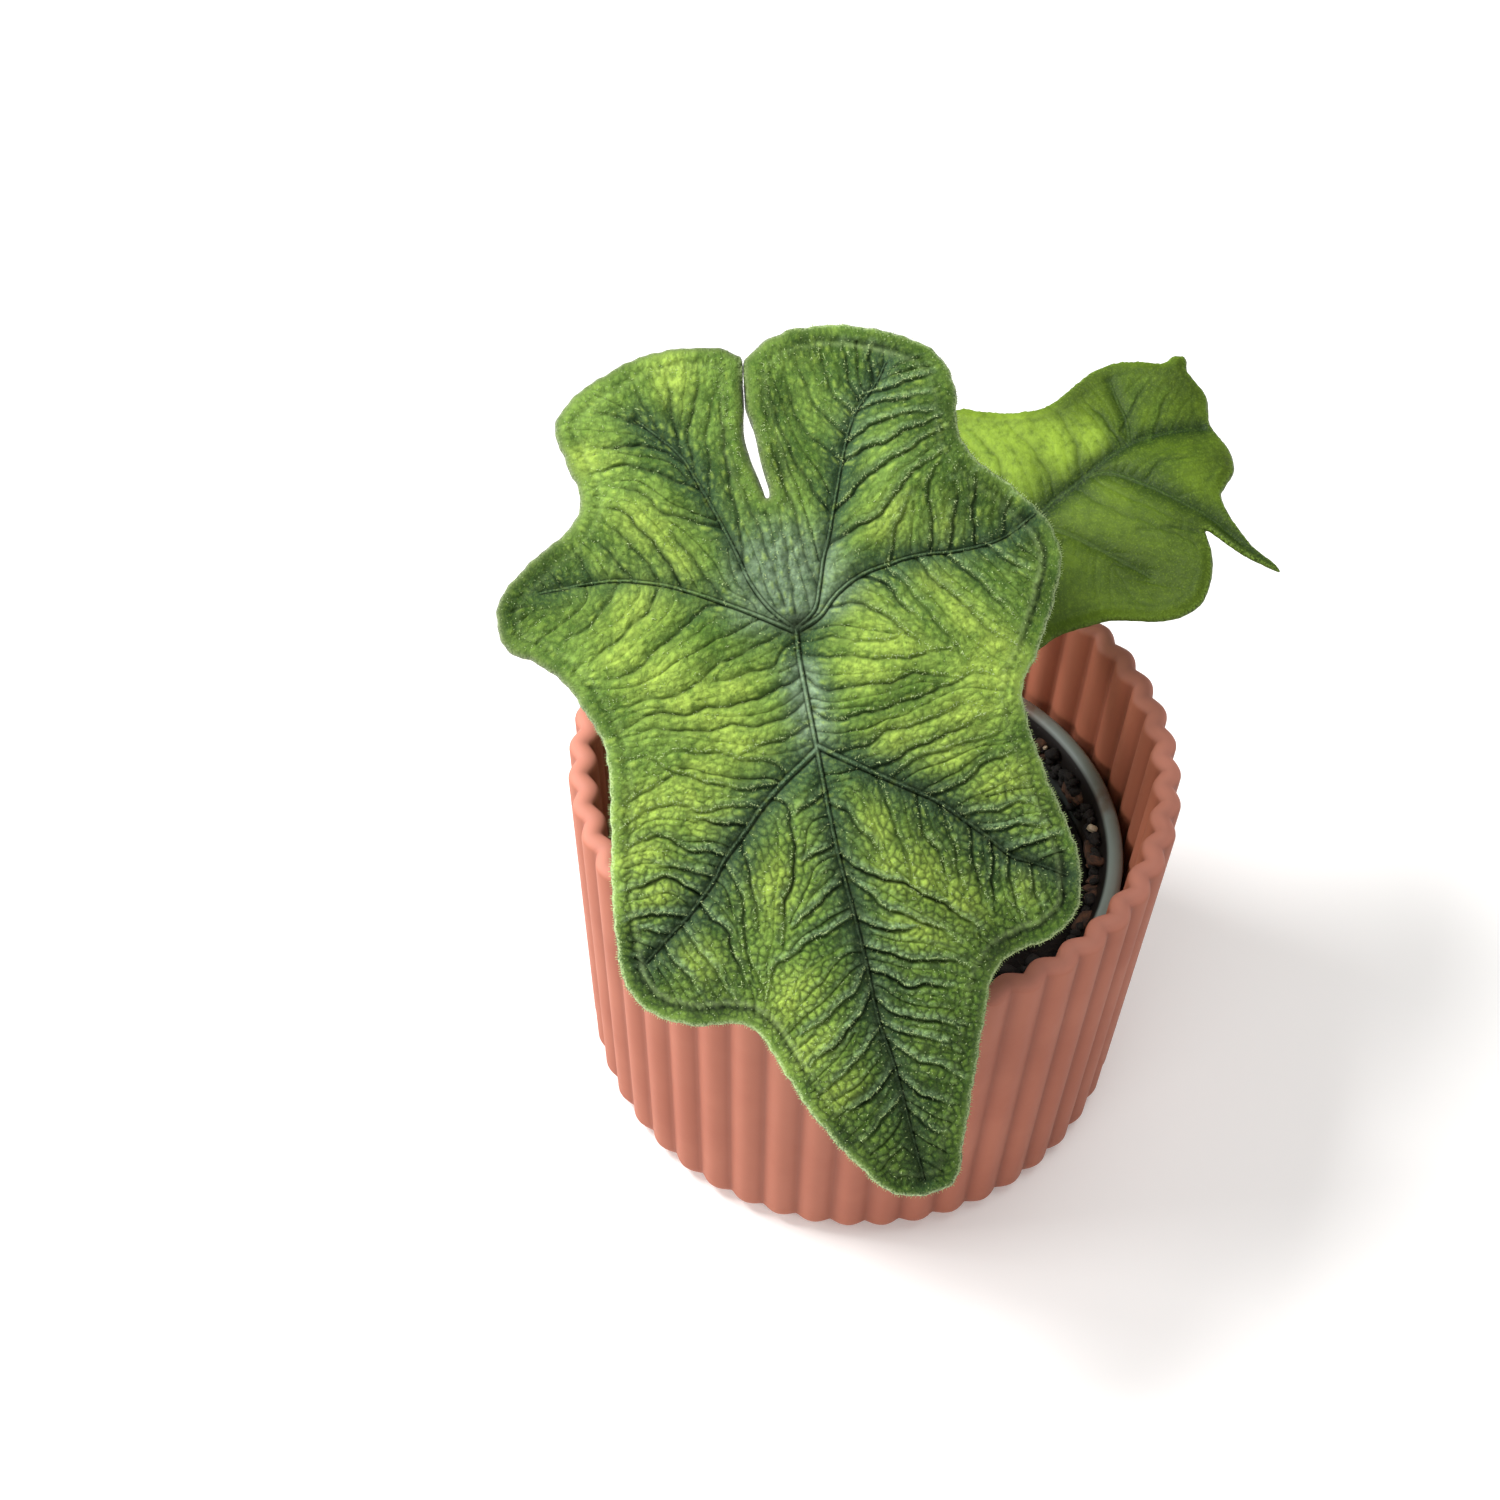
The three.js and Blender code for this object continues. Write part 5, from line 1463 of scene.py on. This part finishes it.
class ALOCASIA_OT_stem_base(bpy.types.Operator):
    """Short fibrous corm that the petioles grow from"""

    bl_idname = "alocasia.stem_base"
    bl_label = "Stem base"

    def execute(self, context):
        profile = [
            (0.5, 0), (0.55, 0), (0.8, 0.1), (0.95, 0.25), (1, 0.5), (1.01, 0.62), (0.99, 0.72),
            (0.96, 0.8), (0.92, 0.87), (0.86, 0.93), (0.76, 0.97), (0.6, 1), (0.3, 1.01), (0.05, 1.01),
        ]
        rise = STEM_TOP - STEM_BOTTOM
        rows = [(STEM_RADIUS * r, STEM_BOTTOM + rise * z) for r, z in profile]
        heights = np.linspace(STEM_BOTTOM, STEM_TOP, 60)
        radii = np.interp(heights, [z for _, z in rows], [r for r, _ in rows])
        rows = [(0.3, STEM_BOTTOM), *zip(radii, heights), (0.1, STEM_TOP)]
        piece = turned("corm", rows, 96, (STEM_X, STEM_Y))
        points = coordinates(piece) / MM - (STEM_X, STEM_Y, 0)
        turn = np.arctan2(points[:, 1], points[:, 0])
        height = points[:, 2]
        fibre = 0.16 * np.sin(31 * turn + 2 * np.sin(0.9 * height))
        fibre += 0.12 * np.sin(17 * turn - 0.8 * height)
        scar = 0.3 * np.sin(1.9 * height + 0.7 * np.sin(turn)) ** 8
        radius = np.maximum(np.hypot(points[:, 0], points[:, 1]), 1e-6)
        swell = np.where(radius > 1, (fibre - scar) * smoothstep(radius, 1, 4), 0)
        points[:, :2] *= ((radius + swell) / radius)[:, None]
        set_coordinates(piece, (points + (STEM_X, STEM_Y, 0)) * MM)
        finish = bit_finish("corm_bark", srgb(132, 100, 66), srgb(66, 46, 30))
        dress(piece, finish, "corm_bark", "stem_base")
        return {"FINISHED"}


def cone_hairs(name, roots, directions, lengths, width, slot):
    """Many thin cones with three sides each, joined in one piece."""
    directions = directions / np.linalg.norm(directions, axis=1)[:, None]
    helper = np.where(np.abs(directions[:, 2:3]) > 0.8, (1.0, 0, 0), (0, 0, 1.0))
    first = np.cross(directions, helper)
    first /= np.linalg.norm(first, axis=1)[:, None]
    second = np.cross(directions, first)
    corners = []
    for turn in (0, TURN / 3, 2 * TURN / 3):
        ring = first * math.cos(turn) + second * math.sin(turn)
        corners.append(roots - 0.1 * lengths[:, None] * directions + width[:, None] * ring)
    points = np.stack([*corners, roots + lengths[:, None] * directions], 1).reshape(-1, 3)
    base = 4 * np.arange(len(roots))[:, None, None]
    faces = (np.array([(0, 2, 1), (0, 1, 3), (1, 2, 3), (2, 0, 3)])[None] + base).reshape(-1, 3)
    dress(mesh_object(name, points * MM, faces), hair_finish(), slot)


PETIOLES = {
    "large_leaf": {
        "foot": (1.6, 3.4),
        "middle": [(0.6, 2.6, 58), (-4.6, 0.2, 78)],
        "radii": (2.2, 1.7, 1.9),
    },
    "small_leaf": {
        "foot": (5.4, 6.4),
        "middle": [(8.8, 9.6, 54), (15.6, 17.2, 68)],
        "radii": (2, 1.35, 1.5),
    },
}


class ALOCASIA_OT_petioles(bpy.types.Operator):
    """Round hairy petioles, mottled, from the stem base to the blades"""

    bl_idname = "alocasia.petioles"
    bl_label = "Petioles"

    def execute(self, context):
        settings = context.scene.plant_settings
        finish = petiole_finish(settings)
        for leaf in (LARGE_LEAF, SMALL_LEAF):
            self.petiole(leaf, PETIOLES[leaf.name], finish, settings.hair_length / MM)
        return {"FINISHED"}

    def petiole(self, leaf, sizes, finish, hair_length):
        """One round petiole from its socket to the back of its blade, and its hairs."""
        face = np.array(leaf_axes(leaf)[2])
        depth = leaf.funnel + BLADE_THICKNESS + JUNCTION_BOSS + 0.3
        head = np.array(leaf.junction) - face * depth
        x, y = sizes["foot"]
        path = [(x, y, PETIOLE_SOCKET), (x, y, STEM_TOP + 1), *sizes["middle"]]
        line = smooth_curve([*path, head - PETIOLE_NECK * face, head], 0.45)
        share = np.linspace(0, 1, len(line))
        low, middle, high = sizes["radii"]
        radius = low + (middle - low) * np.clip(share / 0.5, 0, 1)
        radius += (high - middle) * smoothstep(share, 0.9, 1)
        sides = 36
        turn = np.arange(sides) / sides * TURN
        along = np.gradient(line, axis=0)
        along /= np.linalg.norm(along, axis=1)[:, None]
        first = np.cross(along, (0.3, 1.0, 0.1))
        first /= np.linalg.norm(first, axis=1)[:, None]
        second = np.cross(along, first)
        ripple = 1 + 0.02 * np.sin(9 * turn) + 0.015 * np.sin(0.8 * np.arange(len(line)))[:, None]
        out = first[:, None] * np.cos(turn)[:, None] + second[:, None] * np.sin(turn)[:, None]
        points = line[:, None] + out * (radius[:, None] * ripple)[..., None]
        flat = points.reshape(-1, 3)
        faces = []
        for i in range(len(line) - 1):
            for j in range(sides):
                here, after = i * sides, j + 1 if j + 1 < sides else 0
                faces.append((here + j, here + after, here + sides + after, here + sides + j))
        faces += [tuple(range(sides))[::-1], tuple(range(len(flat) - sides, len(flat)))]
        piece = mesh_object(leaf.name + "_stalk", flat * MM, faces)
        tidy_normals(piece)
        dress(piece, finish, "petiole_skin", leaf.name + "_petiole")
        random = np.random.default_rng(leaf.seed + 40)
        rows = random.integers(12, len(line) - 4, STALK_HAIRS)
        columns = random.integers(0, sides, STALK_HAIRS)
        way = out[rows, columns] + 0.5 * random.normal(size=(STALK_HAIRS, 3))
        lengths = hair_length * random.uniform(0.7, 1.5, STALK_HAIRS)
        width = np.full(STALK_HAIRS, HAIR_WIDTH)
        name = leaf.name + "_stalk_hairs"
        cone_hairs(name, points[rows, columns], way, lengths, width, "petiole_skin")


# Screen colours of each tone of a blade
# The shade tone is partly painted shade, the line tone partly painted shade in creases, and the pleat
# tone a painted highlight.
TONES = {
    "large_leaf": {
        "bright": (190, 219, 92), "panel": (135, 171, 73), "deep": (82, 118, 39),
        "shade": (40, 70, 4), "grey": (60, 90, 58), "line": (16, 32, 10), "spot": (34, 46, 24),
        "pale": (170, 198, 160), "vein": (120, 148, 112), "pleat": (152, 186, 134),
        "rim": (196, 220, 152), "brown_rim": (74, 86, 46),
    },
    "small_leaf": {
        "bright": (158, 190, 58), "panel": (90, 115, 18), "deep": (68, 92, 10),
        "shade": (56, 75, 6), "grey": (26, 48, 6), "line": (32, 54, 10), "spot": (34, 46, 24),
        "pale": (72, 98, 50), "vein": (68, 94, 42), "pleat": (104, 138, 50),
        "rim": (118, 146, 56), "brown_rim": (74, 86, 46),
    },
}


class ALOCASIA_OT_blades(bpy.types.Operator):
    """Both blades with their sunken vein net and thick margin, and short hairs on the large one"""

    bl_idname = "alocasia.blades"
    bl_label = "Blades"

    def execute(self, context):
        large, small = Blade(LARGE_LEAF), Blade(SMALL_LEAF)
        self.blade_piece(large)
        self.hairs(large, context.scene.plant_settings.hair_length / MM)
        self.blade_piece(small)
        return {"FINISHED"}

    def blade_piece(self, blade):
        """A fine upper and a coarser lower face that share the edge."""
        leaf = blade.leaf
        fill = TOP_FILL[leaf.name] * 1
        top, top_faces = blade.sheet(blade.rows(), fill)
        under, under_faces = blade.sheet(blade.rows(UNDER_STEP), UNDER_FILL)
        rim = len(blade.veins.edge)
        top_fields, under_fields = blade.fields(top), blade.fields(under)
        top_height, under_height = blade.top(top_fields), blade.under(under_fields)
        top_height[:rim] = blade.form(top[:rim, 0], top[:rim, 1]) - 0.65 * leaf.relief - 0.3
        points = np.vstack([blade.place(top, top_height), blade.place(under, under_height)[rim:]])
        shift = len(top) - rim
        lower = np.where(under_faces >= rim, under_faces + shift, under_faces)
        faces = np.vstack([top_faces, lower[:, ::-1]])
        piece = mesh_object(leaf.name + "_veined_blade", points, faces)
        fields = {key: np.concatenate([top_fields[key], under_fields[key][rim:]]) for key in top_fields}
        for name, share in blade.colours(fields).items():
            add_attribute(piece, name, share)
        layer = piece.data.uv_layers.new(name="leaf_plane")
        corner = np.zeros(len(piece.data.loops), int)
        piece.data.loops.foreach_get("vertex_index", corner)
        plane = np.column_stack([fields["a"], fields["b"]])
        layer.data.foreach_set("uv", plane[corner].astype(np.float32).ravel())
        dress(piece, leaf_finish(leaf), leaf.name, leaf.name + "_blade")

    def hairs(self, blade, length):
        """Short pale hairs along the margin and the veins and scattered over the blade."""
        random = np.random.default_rng(blade.leaf.seed + 20)
        edge = blade.veins.edge
        rim = random.integers(0, len(edge), RIM_HAIRS)
        crests = np.vstack([upper_side(line, CREST_PLACE) for line in blade.veins.side])
        groups = (
            (crests[hairy_margin(*crests.T) > 0.6], CREST_HAIRS, 0.06),
            (np.vstack(blade.veins.side), SIDE_VEIN_HAIRS, 0.2),
            (np.vstack(blade.veins.fine), FINE_VEIN_HAIRS, 0.3),
            (beside(edge, -2.4), BAND_HAIRS, 0.3),
        )
        spots = [edge[rim]]
        for line, count, spread in groups:
            near = line[random.integers(0, len(line), count)] + random.normal(0, spread, (count, 2))
            spots.append(near[inside_of(edge, near)])
        spots = np.vstack(spots)
        height = blade.top(blade.fields(spots))
        height[: len(rim)] = blade.form(*spots[: len(rim)].T) - 0.7
        roots = blade.place(spots, height) / MM
        tip, across, face = (np.array(axis) for axis in leaf_axes(blade.leaf))
        way = face + 0.55 * random.normal(size=(len(spots), 3))
        ahead = np.roll(edge, -1, axis=0) - edge
        ahead /= np.linalg.norm(ahead, axis=1)[:, None]
        outward = ahead[rim, 1:] * tip - ahead[rim, :1] * across
        way[: len(rim)] = outward + 0.3 * face + 0.3 * random.normal(size=(len(rim), 3))
        lengths = length * random.uniform(0.5, 1.1, len(spots))
        lengths[: len(rim)] *= 0.3 + 0.5 * hairy_margin(*edge[rim].T)
        width = random.uniform(0.9 * HAIR_WIDTH, 1.5 * HAIR_WIDTH, len(spots))
        width[: len(rim)] = 0.9 * HAIR_WIDTH
        cone_hairs(blade.leaf.name + "_hairs", roots, way, lengths, width, blade.leaf.name)


class ALOCASIA_OT_stage(bpy.types.Operator):
    """Pale floor, soft studio light and the camera"""

    bl_idname = "alocasia.stage"
    bl_label = "Stage"

    CAMERA_PLACE = (-16.738, -205.709, 324.605)
    CAMERA_PITCH = 38.05
    CAMERA_ROLL = 1.69
    LENS = 60
    SENSOR = 36
    FLOOR_SIZE = 6
    ROOM_LIGHT = 0.37
    AIM = (0, 0, 0.06)
    LAMPS = {
        "key": ((-0.5, 0.14, 0.78), 0.3, 8.4),
        "side": ((-0.8, -0.04, 0.33), 0.25, 3),
        "front": ((-0.45, -0.66, 0.45), 0.4, 1.5),
        "top": ((0.2, 0.1, 0.9), 0.5, 2.4),
    }

    def execute(self, context):
        scene = context.scene
        deselect()
        bpy.ops.mesh.primitive_plane_add(size=self.FLOOR_SIZE, location=(0, 0, 0))
        floor = context.object
        floor.name = "floor"
        shader = Shader("pale_floor")
        tone = shader.noise(shader.place(), 3, 2)
        colour = shader.mix(tone, srgb(243, 242, 240), srgb(247, 246, 245))
        finish = shader.finish(colour, 0.7, glow_colour=srgb(255, 253, 250), glow=0.16)
        floor.data.materials.append(finish)
        for name, (place, size, power) in self.LAMPS.items():
            self.lamp(name, place, size, power)
        world = bpy.data.worlds.new("soft_room")
        world.use_nodes = True
        background = world.node_tree.nodes["Background"]
        background.inputs["Color"].default_value = srgb(250, 250, 250)
        background.inputs["Strength"].default_value = self.ROOM_LIGHT
        scene.world = world
        scene.view_settings.view_transform = "Standard"
        camera = bpy.data.objects.new("camera", bpy.data.cameras.new("camera"))
        scene.collection.objects.link(camera)
        camera.data.lens = self.LENS
        camera.data.sensor_width = self.SENSOR
        camera.data.clip_start = 0.01
        place = Matrix.Translation([c * MM for c in self.CAMERA_PLACE])
        pitch = Matrix.Rotation(math.radians(self.CAMERA_PITCH), 4, "X")
        roll = Matrix.Rotation(math.radians(self.CAMERA_ROLL), 4, "Z")
        camera.matrix_world = place @ pitch @ roll
        scene.camera = camera
        return {"FINISHED"}

    def lamp(self, name, place, size, power):
        """A square area light that faces the plant."""
        data = bpy.data.lights.new(name, "AREA")
        data.size = size
        data.energy = power
        lamp = bpy.data.objects.new(name, data)
        bpy.context.scene.collection.objects.link(lamp)
        lamp.location = place
        way = Vector(self.AIM) - lamp.location
        lamp.rotation_euler = way.to_track_quat("-Z", "Y").to_euler()


class ALOCASIA_PT_panel(bpy.types.Panel):
    """Lists the pieces of the plant"""

    bl_label = "Alocasia"
    bl_idname = "ALOCASIA_PT_panel"
    bl_space_type = "VIEW_3D"
    bl_region_type = "UI"
    bl_category = "Alocasia"

    def draw(self, context):
        for name in PlantSettings.__annotations__:
            self.layout.prop(context.scene.plant_settings, name)
        for step in STEPS:
            self.layout.operator(step.bl_idname)


STEPS = (
    ALOCASIA_OT_outer_pot,
    ALOCASIA_OT_nursery_pot,
    ALOCASIA_OT_soil,
    ALOCASIA_OT_stem_base,
    ALOCASIA_OT_petioles,
    ALOCASIA_OT_blades,
    ALOCASIA_OT_stage,
)
CLASSES = (PlantSettings, *STEPS, ALOCASIA_PT_panel)


def register():
    for item in CLASSES:
        bpy.utils.register_class(item)
    bpy.types.Scene.plant_settings = bpy.props.PointerProperty(type=PlantSettings)


def unregister():
    del bpy.types.Scene.plant_settings
    for item in reversed(CLASSES):
        bpy.utils.unregister_class(item)


def main():
    register()
    for step in STEPS:
        group, name = step.bl_idname.split(".")
        getattr(getattr(bpy.ops, group), name)()
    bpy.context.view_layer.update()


if __name__ == "__main__":
    main()
